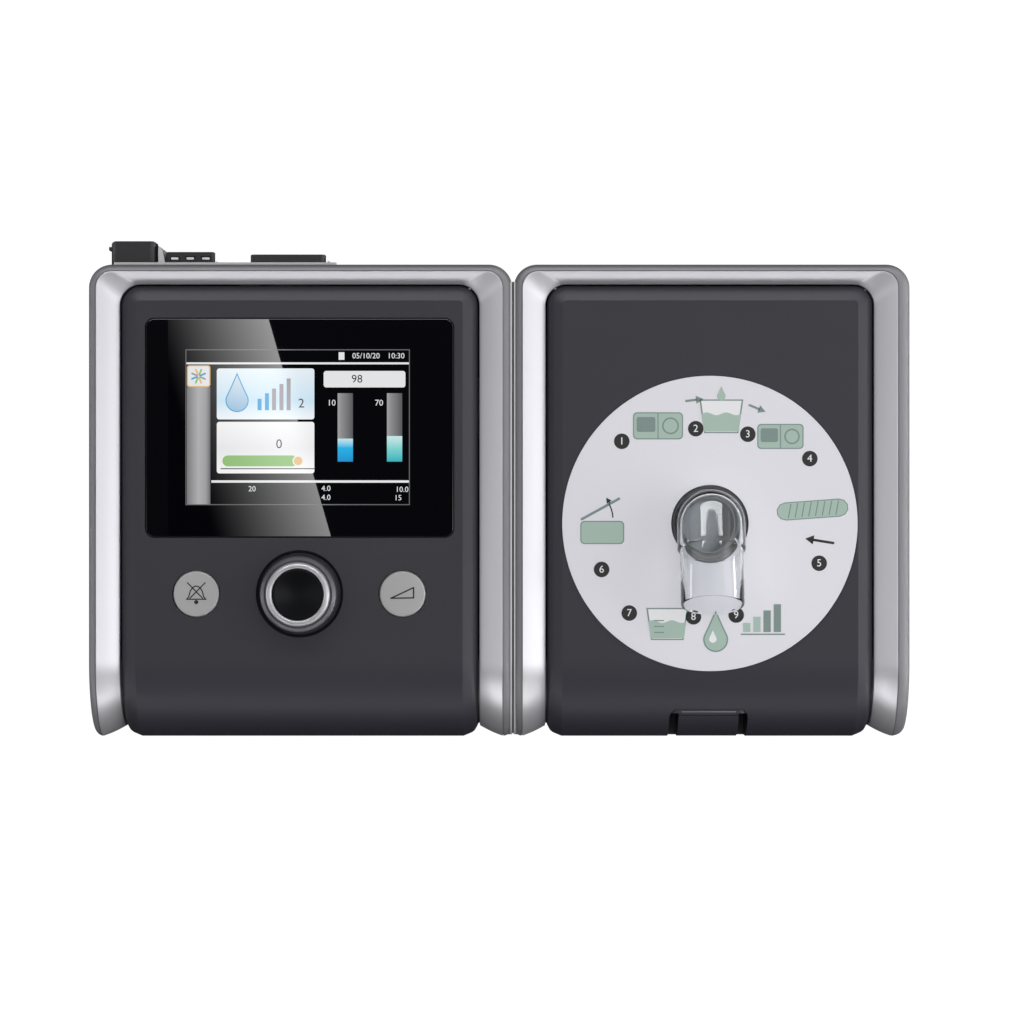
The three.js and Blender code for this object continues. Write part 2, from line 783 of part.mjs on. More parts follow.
// A push button: domed face, flange that holds it under the panel, and stem towards its switch
function button() {
  const reach = boardTop + switchHeight + switchTipHeight + buttonTravel + fit - bodyTop;
  const flangeTop = -panelWall - fit;
  return turned([
    [0, reach], [buttonStemRadius, reach], [buttonStemRadius, flangeTop - buttonFlange],
    [buttonRadius + buttonFlange, flangeTop - buttonFlange], [buttonRadius + buttonFlange, flangeTop],
    [buttonRadius, flangeTop], [buttonRadius, buttonRise - buttonDome],
    [buttonRadius - buttonDome, buttonRise], [0, buttonRise],
  ]);
}

// A tactile switch on the board
function tactSwitch() {
  const half = switchSize / 2;
  return box([-half, -half, 0], [half, half, switchHeight])
    .add(bar('z', [0, 0, switchHeight - overrun], switchTipRadius, switchTipHeight + overrun));
}

// Knob body with its shaft, as turned about the knob's axis; height zero is the panel's top
function knobBody() {
  const shaftEnd = boardTop + knobTravel + fit * 2 + plungerHeight - bodyTop;
  const skirt = knobTravel + slideFit - knobSeatDepth;
  const seat = knobHeight - knobRingHeight;
  return turned([
    [0, shaftEnd], [knobShaftRadius, shaftEnd], [knobShaftRadius, skirt], [knobBaseRadius, skirt],
    [knobBaseRadius, fit], [knobBaseRadius - panelGap, seat / 2], [knobTopRadius, seat], [0, seat],
  ]);
}

// Silver ring on the knob, round on top
function knobRing() {
  const bottom = knobHeight - knobRingHeight + fit;
  const middle = (knobRingRadius + knobRingInner) / 2;
  const half = (knobRingRadius - knobRingInner) / 2;
  const outline = [[knobRingInner, bottom], [knobRingRadius, bottom]];
  for (let step = 0; step <= edgeSteps; step++) {
    const turn = (step / edgeSteps) * Math.PI;
    outline.push([middle + half * Math.cos(turn), knobHeight - half + half * Math.sin(turn)]);
  }
  return turned(outline);
}

// Black cap inside the ring, with a shallow dish for the fingertip
function knobCap() {
  const bottom = knobHeight - knobRingHeight + fit;
  const top = knobHeight - knobCapDish;
  return turned([
    [0, bottom], [knobCapRadius, bottom], [knobCapRadius, top],
    [knobCapRadius * knobDishShare, top - knobCapDish / 2], [0, top - knobCapDish],
  ]);
}

// Rotary encoder: a square body with the bore that guides the plunger and the knob's shaft
function encoder() {
  const half = encoderSize / 2;
  return box([-half, -half, 0], [half, half, encoderHeight])
    .subtract(bar('z', [0, 0, -overrun], knobShaftRadius + fit, encoderHeight + overrun * 2, roundSides));
}

// One half of the blower's housing: the shell between two heights, with the outlet stub
function volute(bottom, top) {
  const stubRadius = spigotRadius + fit + voluteWall;
  const stubFrom = blowerX + voluteRadius - stubRadius * 2;
  const stub = bar('x', [stubFrom, spigotY, spigotHeight], stubRadius, stubRadius * 2 + voluteWall,
    roundSides);
  const shell = bar('z', [blowerX, blowerY, voluteBottom], voluteRadius, voluteTop - voluteBottom, roundSides)
    .add(stub);
  const room = bar('z', [blowerX, blowerY, voluteBottom + voluteWall], voluteRadius - voluteWall,
    voluteTop - voluteBottom - voluteWall * 2, roundSides);
  const bore = bar('x', [stubFrom, spigotY, spigotHeight], spigotRadius + fit,
    stubRadius * 2 + voluteWall + overrun, roundSides);
  const mouth = bar('z', [blowerX, blowerY, spigotHeight], blowerInletRadius, voluteTop, roundSides);
  const band = box([left, frontY, bottom], [mainRight, rearY, top]);
  return shell.subtract(room).subtract(bore).subtract(mouth).intersect(band);
}

// Impeller: a disc and hub with straight blades
function impeller() {
  const parts = [
    bar('z', [0, 0, 0], impellerRadius, impellerDisc, roundSides),
    bar('z', [0, 0, 0], hubRadius, impellerHeight + impellerDisc, roundSides),
  ];
  for (let i = 0; i < bladeCount; i++) {
    const blade = box([hubRadius - overrun, -bladeThickness / 2, impellerDisc / 2],
      [impellerRadius - bladeThickness, bladeThickness / 2, impellerHeight]);
    parts.push(blade.rotate([0, 0, (i * 360) / bladeCount]));
  }
  const bore = bar('z', [0, 0, -overrun], motorShaftRadius + fit, impellerHeight * 2);
  return joined(parts).subtract(bore);
}

// Motor body with the bore for its shaft
function motor() {
  return ring(motorRadius, motorShaftRadius + fit, 0, motorHeight);
}

// Filter cap: a slotted cover with a plug that fits the hole in the rear wall
function filterCap() {
  const plug = filterPlug(0);
  const outer = rearY + filterCapReach;
  const half = filterWidth / 2;
  let cap = box([filterX - half, rearY + fit, filterBottom], [filterX + half, outer, filterTop])
    .add(box([filterX - plug.x, rearY + fit - filterPlugDepth, plug.bottom],
      [filterX + plug.x, rearY + overrun, plug.top]));
  const pitch = (plug.top - plug.bottom) / filterSlotCount;
  for (let i = 0; i < filterSlotCount; i++) {
    const bottom = plug.bottom + pitch * (i + 1 / 2) - filterSlotHeight / 2;
    const reach = plug.x - filterPlugDepth;
    cap = cap.subtract(box([filterX - reach, rearY - filterPlugDepth - overrun, bottom],
      [filterX + reach, outer + overrun, bottom + filterSlotHeight]));
  }
  return cap;
}

// Box behind the rear wall that holds the air filter, with a window towards the blower
function filterBox() {
  const rear = rearY - wall - fit;
  const [half, bottom, top] = [filterWidth / 2 + wall, filterBottom - wall, filterTop + wall];
  const inside = wall - fit;
  const frontWall = rear - filterBoxDepth;
  return box([filterX - half, frontWall, bottom], [filterX + half, rear, top])
    .subtract(box([filterX - half + inside, frontWall + inside, bottom + inside],
      [filterX + half - inside, rear + overrun, top - inside]))
    .subtract(box([filterX - half / 2, frontWall - overrun, bottom + filterDepth],
      [filterX + half / 2, frontWall + wall + overrun, top - filterDepth]));
}

// Foam filter in its box
function airFilter() {
  const rear = rearY - wall - fit * 2;
  return box([filterX - filterWidth / 2, rear - filterDepth, filterBottom],
    [filterX + filterWidth / 2, rear, filterTop]);
}

// A block on the rear wall with a neck through it
function rearBlock(x, width, reach) {
  const shape = roundedRectangle(width, inletTop - inletBottom, inletCorner);
  const middle = (inletBottom + inletTop) / 2;
  const block = plate(shape, 0, reach - fit).rotate([-90, 0, 0]).translate([x, rearY + fit, middle]);
  const half = portNeckWidth / 2;
  return block.add(box([x - half, rearY - wall - portNeckReach, middle - portNeckHeight / 2],
    [x + half, rearY + overrun, middle + portNeckHeight / 2]));
}

// Power inlet: a block with a barrel socket and its centre pin
function powerInlet() {
  const middle = (inletBottom + inletTop) / 2;
  const end = rearY + rearReach;
  const socket = bar('y', [inletX, end - inletSocketDepth, middle], inletSocketRadius,
    inletSocketDepth + overrun);
  const pin = bar('y', [inletX, end - inletSocketDepth - overrun, middle], inletPinRadius, inletSocketDepth);
  return rearBlock(inletX, inletWidth, rearReach).subtract(socket).add(pin);
}

// Data port: a shallower block with three small slots through it from top to bottom
function dataPort() {
  let block = rearBlock(portX, portWidth, portReach);
  const pitch = portWidth / portSlotCount;
  for (let i = 0; i < portSlotCount; i++) {
    const x = portX + pitch * (i - (portSlotCount - 1) / 2);
    const y = rearY + portSlotFromRear;
    block = block.subtract(box([x - portSlotWidth / 2, y, inletBottom - overrun],
      [x + portSlotWidth / 2, y + portSlotDepth, inletTop + overrun]));
  }
  return block;
}

// Outlet spigot: the tube from the blower through both side walls into the humidifier
function spigot() {
  const from = blowerX + voluteRadius - spigotRadius;
  const length = mainRight + spigotReach - from;
  const bore = bar('x', [from - overrun, spigotY, spigotHeight], spigotBore, length + overrun * 2,
    roundSides);
  return bar('x', [from, spigotY, spigotHeight], spigotRadius, length, roundSides).subtract(bore);
}

// Rubber sleeve on the spigot's end that seals against the water chamber
function inletGasket() {
  const from = chamberLeft - fit - gasketLength;
  const outer = spigotRadius + fit + gasketWall;
  const end = mainRight + spigotReach + fit;
  const seat = bar('x', [from - overrun, spigotY, spigotHeight], spigotRadius + fit, end - from + overrun,
    roundSides);
  return bar('x', [from, spigotY, spigotHeight], outer, gasketLength, roundSides).subtract(seat)
    .subtract(bar('x', [from, spigotY, spigotHeight], spigotBore, gasketLength + overrun, roundSides));
}

// Humidifier housing with its air inlet and the two ears that carry the lid's hinge pins
function wetHousing() {
  const inlet = bar('x', [wetLeft - overrun, spigotY, spigotHeight], spigotRadius + gasketWall,
    wall + overrun * 2, roundSides);
  let body = housing(wetUnit).add(posts(wetUnit)).subtract(inlet);
  for (const { side, edge } of hingeSides) body = body.add(hingeEar(edge, side));
  return body;
}

// An ear from the rear wall, under the lid's skirt, up to the hinge axis
function hingeEar(edge, side) {
  const [from] = span(edge, side, hingeEarLength);
  const inner = rearY - wall + fit;
  const arm = sidePlate([
    [hinge.y - hingeBarrelRadius, hinge.z], [hinge.y - hingeBarrelRadius, hinge.z - earDrop],
    [inner, hinge.z - earRootDrop], [inner, hinge.z - earRootTop],
    [hinge.y + hingePinRadius, hinge.z - earHookTop], [hinge.y + hingePinRadius, hinge.z],
  ], from, hingeEarLength);
  const bore = bar('x', [from - overrun, hinge.y, hinge.z], hingePinRadius + fit,
    hingeEarLength + overrun * 2);
  return arm.add(bar('x', [from, hinge.y, hinge.z], hingeBarrelRadius, hingeEarLength)).subtract(bore);
}

// The lid: top and upper front of the humidifier, with barrels on its hinge axis
function lid() {
  const under = box([left, frontY - overrun, -overrun], [right, arcCentreY, lidBottom]);
  const deep = skinShell(panelRings(wetUnit), footHeight).subtract(under);
  const outletHole = bar('z', [elbowX, elbowY, underPanel - overrun], outletHoleRadius,
    panelWall + overrun * 2, roundSides);
  const labelSeat = bar('z', [elbowX, elbowY, bodyTop - labelThickness - fit], labelRadius + fit,
    panelWall, wideSides);
  let body = deep.subtract(latchSlab(0, -overrun, latchWellDepth * 2)).subtract(outletHole).subtract(labelSeat);
  for (const { side, edge } of hingeSides) {
    const [pocketFrom] = span(edge - side * fit, side, hingeEarLength + fit * 2);
    const pocketLength = hingeEarLength + fit * 2;
    const [barrelFrom] = span(edge - side * fit, -side, hingeBarrelLength);
    body = body
      .subtract(bar('x', [pocketFrom, hinge.y, hinge.z], hingePocket, pocketLength, roundSides))
      .subtract(box([pocketFrom, hinge.y - hingePocket, hinge.z - panelSkirt],
        [pocketFrom + pocketLength, rearY, hinge.z]));
    const cheek = box([barrelFrom, hinge.y - hingeBarrelRadius, hinge.z],
      [barrelFrom + hingeBarrelLength, hinge.y + hingeBarrelRadius, underPanel + overrun]);
    body = body.add(bar('x', [barrelFrom, hinge.y, hinge.z], hingeBarrelRadius, hingeBarrelLength)).add(cheek)
      .subtract(bar('x', [barrelFrom - overrun, hinge.y, hinge.z], hingePinRadius + fit,
        hingeBarrelLength + overrun * 2));
  }
  return body.add(latchWell()).add(springBracket());
}

// A rectangle in X and Z with round top corners
function roundedTop(half, bottom, top, corner) {
  const shape = new THREE.Shape();
  shape.moveTo(-half, bottom);
  shape.lineTo(half, bottom);
  shape.lineTo(half, top - corner);
  shape.absarc(half - corner, top - corner, corner, 0, halfPi, false);
  shape.lineTo(-half + corner, top);
  shape.absarc(-half + corner, top - corner, corner, halfPi, Math.PI, false);
  return shape;
}

// Wall under the lid that the latch spring pushes against
function springBracket() {
  const y = frontY + springBracketFrom;
  const half = latchTabWidth / 2;
  const bottom = (latchBottom + latchTop) / 2 - springBracketHeight / 2;
  return box([lidCentre - half, y, bottom], [lidCentre + half, y + springBracketWall, underPanel + fit]);
}

// A flat outline of the latch's opening, grown or shrunk, made thick from the front inwards
function latchSlab(grown, from, depth) {
  const shape = roundedTop(latchOpening / 2 + grown, latchBottom - grown, latchTop + grown, latchCorner);
  return plate(shape, 0, depth).rotate([90, 0, 0]).translate([lidCentre, frontY + from + depth, 0]);
}

// Walls round the latch's opening, inwards from the lid's skin
function latchWell() {
  const under = panelRing(wetUnit, panelWall, -panelWall / 2);
  return latchSlab(latchWellWall, 0, latchWellDepth)
    .subtract(latchSlab(0, -overrun, latchWellDepth + overrun * 2))
    .intersect(skinBlock([under], footHeight));
}

// Latch: the tab in the lid's front, the floor of its well and the arm that reaches the keeper
function latch() {
  const half = latchTabWidth / 2;
  const tab = plate(roundedTop(half, latchBottom + fit, latchTop - fit, latchCorner), 0, latchDepth)
    .rotate([90, 0, 0]).translate([lidCentre, frontY + latchDepth, 0]);
  const front = tab.intersect(skinBlock([panelRing(wetUnit, 0, -latchSink)], footHeight));
  const back = frontY + latchDepth + latchFloor;
  const armY = frontY + latchWellDepth + fit * 2;
  const arm = box([lidCentre - latchArmWidth / 2, armY, latchArmBottom],
    [lidCentre + latchArmWidth / 2, armY + latchArmDepth, latchBottom + latchArmHold]);
  const hold = box([lidCentre - latchArmWidth / 2, back - latchFloor / 2, latchBottom + fit],
    [lidCentre + latchArmWidth / 2, armY + latchArmDepth, latchBottom + latchArmHold]);
  return joined([front, latchSlab(-slideFit, latchDepth - fit, latchFloor + fit), hold, arm]);
}

// A coil spring along Y as one unbroken tube
class Coil extends THREE.Curve {
  constructor(radius, length, turns) {
    super();
    Object.assign(this, { radius, length, turns });
  }
  getPoint(share, target = new THREE.Vector3()) {
    const turn = share * this.turns * Math.PI * 2;
    return target.set(this.radius * Math.cos(turn), share * this.length, this.radius * Math.sin(turn));
  }
}

function coilSpring(length) {
  const wire = new THREE.Shape();
  wire.absarc(0, 0, springWire / 2, 0, Math.PI * 2, false);
  const path = new Coil(springRadius, length - springWire, springTurns);
  const geometry = new THREE.ExtrudeGeometry(wire, {
    steps: springTurns * springStepsPerTurn, bevelEnabled: false, curveSegments: springWireSides,
    extrudePath: path,
  });
  return solid(geometry.translate(0, springWire / 2, 0));
}

// Fixed cover below the lid, with the keeper behind its top edge
function frontCover() {
  const top = lidBottom - panelGap;
  const above = box([left, frontY - overrun, top], [right, rearY + overrun, bodyTop + overrun]);
  const behind = box([left, frontY + frontRadius, -overrun], [right, rearY + overrun, bodyTop]);
  const front = frontY + panelWall;
  const keeper = box([lidCentre - latchArmWidth / 2, front - fit, top - keeperHeight],
    [lidCentre + latchArmWidth / 2, front + keeperReach, top]);
  return skinShell(panelRings(wetUnit), footHeight).subtract(above).subtract(behind).add(keeper);
}

// Label disc with the hole that the elbow stands in
function labelDisc() {
  return ring(labelRadius, outletHoleRadius, -labelThickness, 0, wideSides);
}

// Socket ring in the lid that the elbow turns in
function elbowSocket() {
  const outer = outletHoleRadius - fit;
  return ring(outer, outer - socketWall, -panelWall - socketDepth, -fit);
}

// Clear elbow: an upright tube with a domed top and a tube that rises to the front
function elbow() {
  const axisZ = elbowAxisRise;
  const bottom = -panelWall - socketDepth;
  const rise = (tubeRiseDegrees * Math.PI) / 180;
  const length = tubeForward / Math.cos(rise);
  const upright = (radius, low, high) => {
    const outline = [[0, low], [radius, low]];
    for (let step = 0; step <= edgeSteps; step++) {
      const turn = (step / edgeSteps) * halfPi;
      outline.push([radius * Math.cos(turn), axisZ + (high - axisZ) * Math.sin(turn)]);
    }
    return turned(outline);
  };
  const sloping = (radius, reach) => bar('y', [0, 0, 0], radius, reach, roundSides)
    .rotate([180 - tubeRiseDegrees, 0, 0]).translate([0, 0, axisZ]);
  const inside = upright(elbowBore, bottom - overrun, elbowDomeRise + axisZ - (elbowRadius - elbowBore))
    .add(sloping(tubeBore, length + overrun));
  const outside = upright(elbowRadius, bottom, elbowDomeRise + axisZ).add(sloping(tubeRadius, length));
  return outside.subtract(inside);
}

// Seal under the lid round the outlet
function outletSeal() {
  const inner = outletHoleRadius + fit;
  return ring(inner + sealWidth, inner, chamberTop + neckHeight + fit - bodyTop, -panelWall - fit);
}

// Water chamber: a tub with a flange, and a lid with the outlet neck and the inlet hole
function chamberBox(bottom, top, shrink) {
  const [width, length] = [chamberWidth - shrink * 2, chamberLength - shrink * 2];
  const shape = roundedRectangle(width, length, chamberCorner - shrink);
  return plate(shape, bottom, top - bottom).translate([chamberX, chamberY, 0]);
}

function chamberTub() {
  const top = chamberSplit - chamberSealHeight / 2 - fit;
  const room = chamberBox(chamberBottom + chamberWall, top + overrun, chamberWall);
  return chamberBox(chamberBottom, top, 0).subtract(room);
}

function chamberSeal() {
  const bottom = chamberSplit - chamberSealHeight / 2;
  const top = chamberSplit + chamberSealHeight / 2;
  return chamberBox(bottom, top, 0).subtract(chamberBox(bottom - overrun, top + overrun, chamberRim));
}

function chamberLid() {
  const bottom = chamberSplit + chamberSealHeight / 2 + fit;
  const room = chamberBox(bottom - overrun, chamberTop - chamberWall, chamberWall);
  const neck = bar('z', [elbowX, elbowY, chamberTop - chamberWall], neckRadius, neckHeight + chamberWall,
    roundSides);
  const hole = bar('z', [elbowX, elbowY, chamberTop - chamberWall * 2], neckBore,
    neckHeight + chamberWall * 2 + overrun, roundSides);
  const inlet = bar('x', [chamberLeft - overrun, spigotY, spigotHeight], spigotBore,
    chamberWall + overrun * 2, roundSides);
  return chamberBox(bottom, chamberTop, 0).subtract(room).add(neck).subtract(hole).subtract(inlet);
}

// Heater tray: a stiff shelf on skirts with the window that the heater plate sits in
function heaterTray() {
  const front = frontY + railDrop + railThickness + fit + ledgeThickness + fit;
  const inner = screwInset + postRadius + fit;
  const bottom = footHeight + baseThickness + fit;
  const [x0, x1, y0, y1] = [wetLeft + inner, right - inner, front, rearY - inner];
  const [halfWidth, halfLength] = [heaterHalfWidth + fit, heaterHalfLength + fit];
  const room = box([x0 + wall, y0 + wall, bottom - overrun],
    [x1 - wall, y1 - wall, trayHeight - trayThickness]);
  const window = box([chamberX - halfWidth, chamberY - halfLength, bottom],
    [chamberX + halfWidth, chamberY + halfLength, trayHeight + overrun]);
  return box([x0, y0, bottom], [x1, y1, trayHeight]).subtract(room).subtract(window);
}

function heaterPlate() {
  return box([chamberX - heaterHalfWidth, chamberY - heaterHalfLength, trayHeight - heaterPlateThickness / 2],
    [chamberX + heaterHalfWidth, chamberY + heaterHalfLength, trayHeight + heaterPlateThickness / 2]);
}

function heaterBlock() {
  const [x, y] = [heaterHalfWidth - heaterBlockMargin, heaterHalfLength - heaterBlockMargin];
  const top = trayHeight - heaterPlateThickness / 2 - fit;
  return box([chamberX - x, chamberY - y, top - heaterBlockHeight], [chamberX + x, chamberY + y, top]);
}

// Main unit
const mainGroup = new THREE.Group();
mainGroup.add(
  piece('main_housing', 'shell', mainHousing()),
  piece('main_base', 'shell', mainBase()),
  piece('main_frame', 'silver', frame(mainUnit)),
  piece('main_panel', 'panel', mainPanel()),
  feetAndScrews(mainUnit, 'main'),
);

const screenGroup = new THREE.Group();
screenGroup.position.set(mainCentre, screenY, 0);
screenGroup.add(
  piece('screen_glass', 'glass', plate(roundedRectangle(screenWidth, screenHeight, screenCorner), 0,
    glassThickness), [0, 0, bodyTop - glassSet - glassThickness]),
  piece('display_module', 'black', display(), [0, 0, displayTop]),
);
mainGroup.add(screenGroup);
mainGroup.add(piece('main_board', 'board', box(
  [mainCentre - boardWidth / 2, boardFront, boardTop - boardThickness],
  [mainCentre + boardWidth / 2, boardRear, boardTop],
)));

for (const [side, name] of [[-1, 'mute'], [1, 'ramp']]) {
  const control = new THREE.Group();
  control.position.set(mainCentre + side * buttonSpacing, controlsY, 0);
  control.add(
    piece(`${name}_button`, 'button', button(), [0, 0, bodyTop]),
    piece(`${name}_switch`, 'black', tactSwitch(), [0, 0, boardTop + fit]),
  );
  mainGroup.add(control);
}

const knobGroup = new THREE.Group();
knobGroup.position.set(mainCentre, controlsY, 0);
knobGroup.add(
  piece('knob_body', 'black', knobBody(), [0, 0, bodyTop]),
  piece('knob_ring', 'chrome', knobRing(), [0, 0, bodyTop]),
  piece('knob_cap', 'black', knobCap(), [0, 0, bodyTop]),
  piece('encoder_body', 'steel', encoder(), [0, 0, boardTop + fit]),
  piece('encoder_plunger', 'steel', bar('z', [0, 0, 0], knobShaftRadius, plungerHeight, roundSides),
    [0, 0, boardTop + knobTravel + fit]),
);
mainGroup.add(knobGroup);

const voluteSplit = spigotHeight;
const motorBottom = voluteBottom + voluteWall + fit;
const impellerBottom = motorBottom + motorHeight + overrun + fit;
const shaftLength = impellerBottom + impellerHeight + impellerDisc - motorBottom - overrun;
mainGroup.add(
  piece('blower_lower', 'inner', volute(voluteBottom, voluteSplit - fit / 2)),
  piece('blower_upper', 'inner', volute(voluteSplit + fit / 2, voluteTop)),
);
const blowerGroup = new THREE.Group();
blowerGroup.position.set(blowerX, blowerY, 0);
blowerGroup.add(
  piece('blower_motor', 'steel', motor(), [0, 0, motorBottom]),
  piece('motor_shaft', 'steel', bar('z', [0, 0, 0], motorShaftRadius, shaftLength),
    [0, 0, motorBottom + overrun]),
  piece('blower_impeller', 'black', impeller(), [0, 0, impellerBottom]),
  piece('blower_mount', 'softRubber', ring(mountRingRadius + mountRingWidth / 2,
    mountRingRadius - mountRingWidth / 2, -mountHeight, 0), [0, 0, voluteBottom - fit]),
);
mainGroup.add(blowerGroup);
mainGroup.add(
  piece('outlet_spigot', 'inner', spigot()),
  piece('filter_box', 'inner', filterBox()),
  piece('air_filter', 'foam', airFilter()),
  piece('filter_cap', 'black', filterCap()),
  piece('power_inlet', 'black', powerInlet()),
  piece('data_port', 'black', dataPort()),
);

// Humidifier
const wetGroup = new THREE.Group();
wetGroup.add(
  piece('humidifier_housing', 'shell', wetHousing()),
  piece('humidifier_base', 'shell', basePlate(wetUnit)),
  piece('humidifier_frame', 'silver', frame(wetUnit)),
  piece('front_cover', 'panel', frontCover()),
  feetAndScrews(wetUnit, 'humidifier'),
  piece('heater_tray', 'inner', heaterTray()),
  piece('heater_plate', 'aluminium', heaterPlate()),
  piece('heater_block', 'steel', heaterBlock()),
  piece('chamber_tub', 'clear', chamberTub()),
  piece('chamber_seal', 'softRubber', chamberSeal()),
  piece('chamber_lid', 'clear', chamberLid()),
  piece('inlet_gasket', 'softRubber', inletGasket()),
);

const lidGroup = new THREE.Group();
const springStart = frontY + latchDepth + latchFloor + fit;
lidGroup.add(
  piece('lid_panel', 'panel', lid()),
  piece('latch_button', 'panel', latch()),
  piece('latch_spring', 'steel', coilSpring(frontY + springBracketFrom - fit - springStart),
    [lidCentre, springStart, (latchBottom + latchTop) / 2]),
);
const outlet = new THREE.Group();
outlet.position.set(elbowX, elbowY, bodyTop);
outlet.add(
  piece('label_disc', 'label', labelDisc()),
  piece('elbow_socket', 'black', elbowSocket()),
  piece('outlet_elbow', 'clear', elbow()),
  piece('outlet_seal', 'softRubber', outletSeal()),
);
lidGroup.add(outlet);
for (const { side, edge } of hingeSides) {
  const name = side < 0 ? 'hinge_pin_left' : 'hinge_pin_right';
  const [from] = span(edge + side * hingeEarLength, -side, pinLength);
  const pin = bar('x', [0, 0, 0], hingePinRadius, pinLength);
  wetGroup.add(piece(name, 'steel', pin, [from, hinge.y, hinge.z]));
}
wetGroup.add(lidGroup);

const machine = new THREE.Group();
machine.add(mainGroup, wetGroup);
export default machine;
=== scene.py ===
# Looks of a bilevel breathing therapy machine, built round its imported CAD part.
# Helper functions work in millimetres in the shared frame; meshes are made in metres.
from functools import partial
from math import atan2, cos, degrees, pi, radians, sin, tan

import bmesh
import bpy
from mathutils import Matrix, Vector


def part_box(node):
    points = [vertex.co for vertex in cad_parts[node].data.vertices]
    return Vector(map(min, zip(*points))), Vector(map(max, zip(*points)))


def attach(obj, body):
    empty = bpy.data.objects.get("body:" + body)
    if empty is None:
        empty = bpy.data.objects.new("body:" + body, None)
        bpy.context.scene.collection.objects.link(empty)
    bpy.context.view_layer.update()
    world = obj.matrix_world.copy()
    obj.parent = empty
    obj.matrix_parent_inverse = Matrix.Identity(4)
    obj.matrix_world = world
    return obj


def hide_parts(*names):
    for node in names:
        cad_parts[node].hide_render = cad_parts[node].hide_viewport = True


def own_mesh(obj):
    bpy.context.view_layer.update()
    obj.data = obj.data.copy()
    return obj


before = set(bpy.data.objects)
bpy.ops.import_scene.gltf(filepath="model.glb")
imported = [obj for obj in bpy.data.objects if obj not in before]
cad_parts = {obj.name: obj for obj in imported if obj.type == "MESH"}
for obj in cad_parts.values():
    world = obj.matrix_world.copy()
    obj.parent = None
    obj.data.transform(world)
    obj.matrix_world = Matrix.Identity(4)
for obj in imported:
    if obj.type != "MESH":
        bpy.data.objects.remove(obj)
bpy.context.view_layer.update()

# Sizes in millimetres, as in the CAD part
MM = 0.001
TOP = 105.5
REAR = 78.5
FRONT = -89.5
RADIUS = 28
ARC_Y = FRONT + RADIUS
ARC_Z = TOP - RADIUS
ARC_START = REAR - ARC_Y
ARC_LENGTH = RADIUS * pi / 2
FOOT = 3
WALL = 2.5
FIT = 0.3
RAIL, RAIL_DROP, RAIL_THICK = 8.2, 3.8, 1.8
REAR_BAR, REAR_BAND, BAND_DROP = 4.4, 2.5, 3
OUTER_CORNER, CREST_CORNER, INNER_CORNER = 8.5, 5.7, 7.5
GAP, SKIRT, SHEET = 0.5, 7, 3
LEDGE = 2.5
LID_BOTTOM = 42
MAIN = {"left": -145, "right": 4.6, "band_left": 2.65, "band_right": 3.45}
WET = {"left": 5.1, "right": 145, "band_left": 3.1, "band_right": 4.3}
MAIN_X, LID_X = -70.425, 74.3
CONTROLS_Y, BUTTON_X = -37.8, 36.35
SCREEN_Y, GLASS_TOP = 20.75, 105.3
BORE = (100, 107)
ELBOW_Y = -13
LABEL_R, HOLE_R = 52.1, 13.65
HINGE_Y, HINGE_Z = 65.2, 100
FRONT_STEPS, CORNER_STEPS, EDGE_STEPS = 36, 14, 10
ROUND = 96
PHOTO_MM = 0.3526


def photo(x, y):
    """The X and Y on the flat top that a pixel of the photograph shows."""
    return ((x - 499.25) * PHOTO_MM, REAR - (y - 264) * PHOTO_MM)


# ---- materials
def feed(tree, node, inputs):
    """Sets a shader node's inputs to values, or links them to the outputs of other nodes."""
    for key, value in inputs.items():
        if isinstance(value, bpy.types.NodeSocket):
            tree.links.new(value, node.inputs[key])
        else:
            node.inputs[key].default_value = value
    return node


def add_node(tree, kind, inputs=None, **settings):
    node = tree.nodes.new("ShaderNode" + kind)
    for key, value in settings.items():
        setattr(node, key, value)
    return feed(tree, node, inputs or {})


def first_of(tree, kind, inputs, **settings):
    """Adds a node and gives its first output."""
    return add_node(tree, kind, inputs, **settings).outputs[0]


def add_math(tree, operation, first, second):
    return first_of(tree, "Math", {0: first, 1: second}, operation=operation)


def add_ramp(tree, value, stops):
    """A colour that follows a value through pairs of place and colour."""
    ramp = add_node(tree, "ValToRGB", {"Fac": value})
    elements = ramp.color_ramp.elements
    while len(elements) < len(stops):
        elements.new(0.5)
    for element, (where, rgba) in zip(elements, stops):
        element.position = where
        element.color = rgba
    return ramp.outputs["Color"]


def linear(value):
    value = value / 255
    return value / 12.92 if value <= 0.04045 else ((value + 0.055) / 1.055) ** 2.4


def colour(red, green, blue):
    return (linear(red), linear(green), linear(blue), 1)


def grey(value):
    return (value, value, value, 1)


def toned(rgba, factor):
    return (rgba[0] * factor, rgba[1] * factor, rgba[2] * factor, 1)


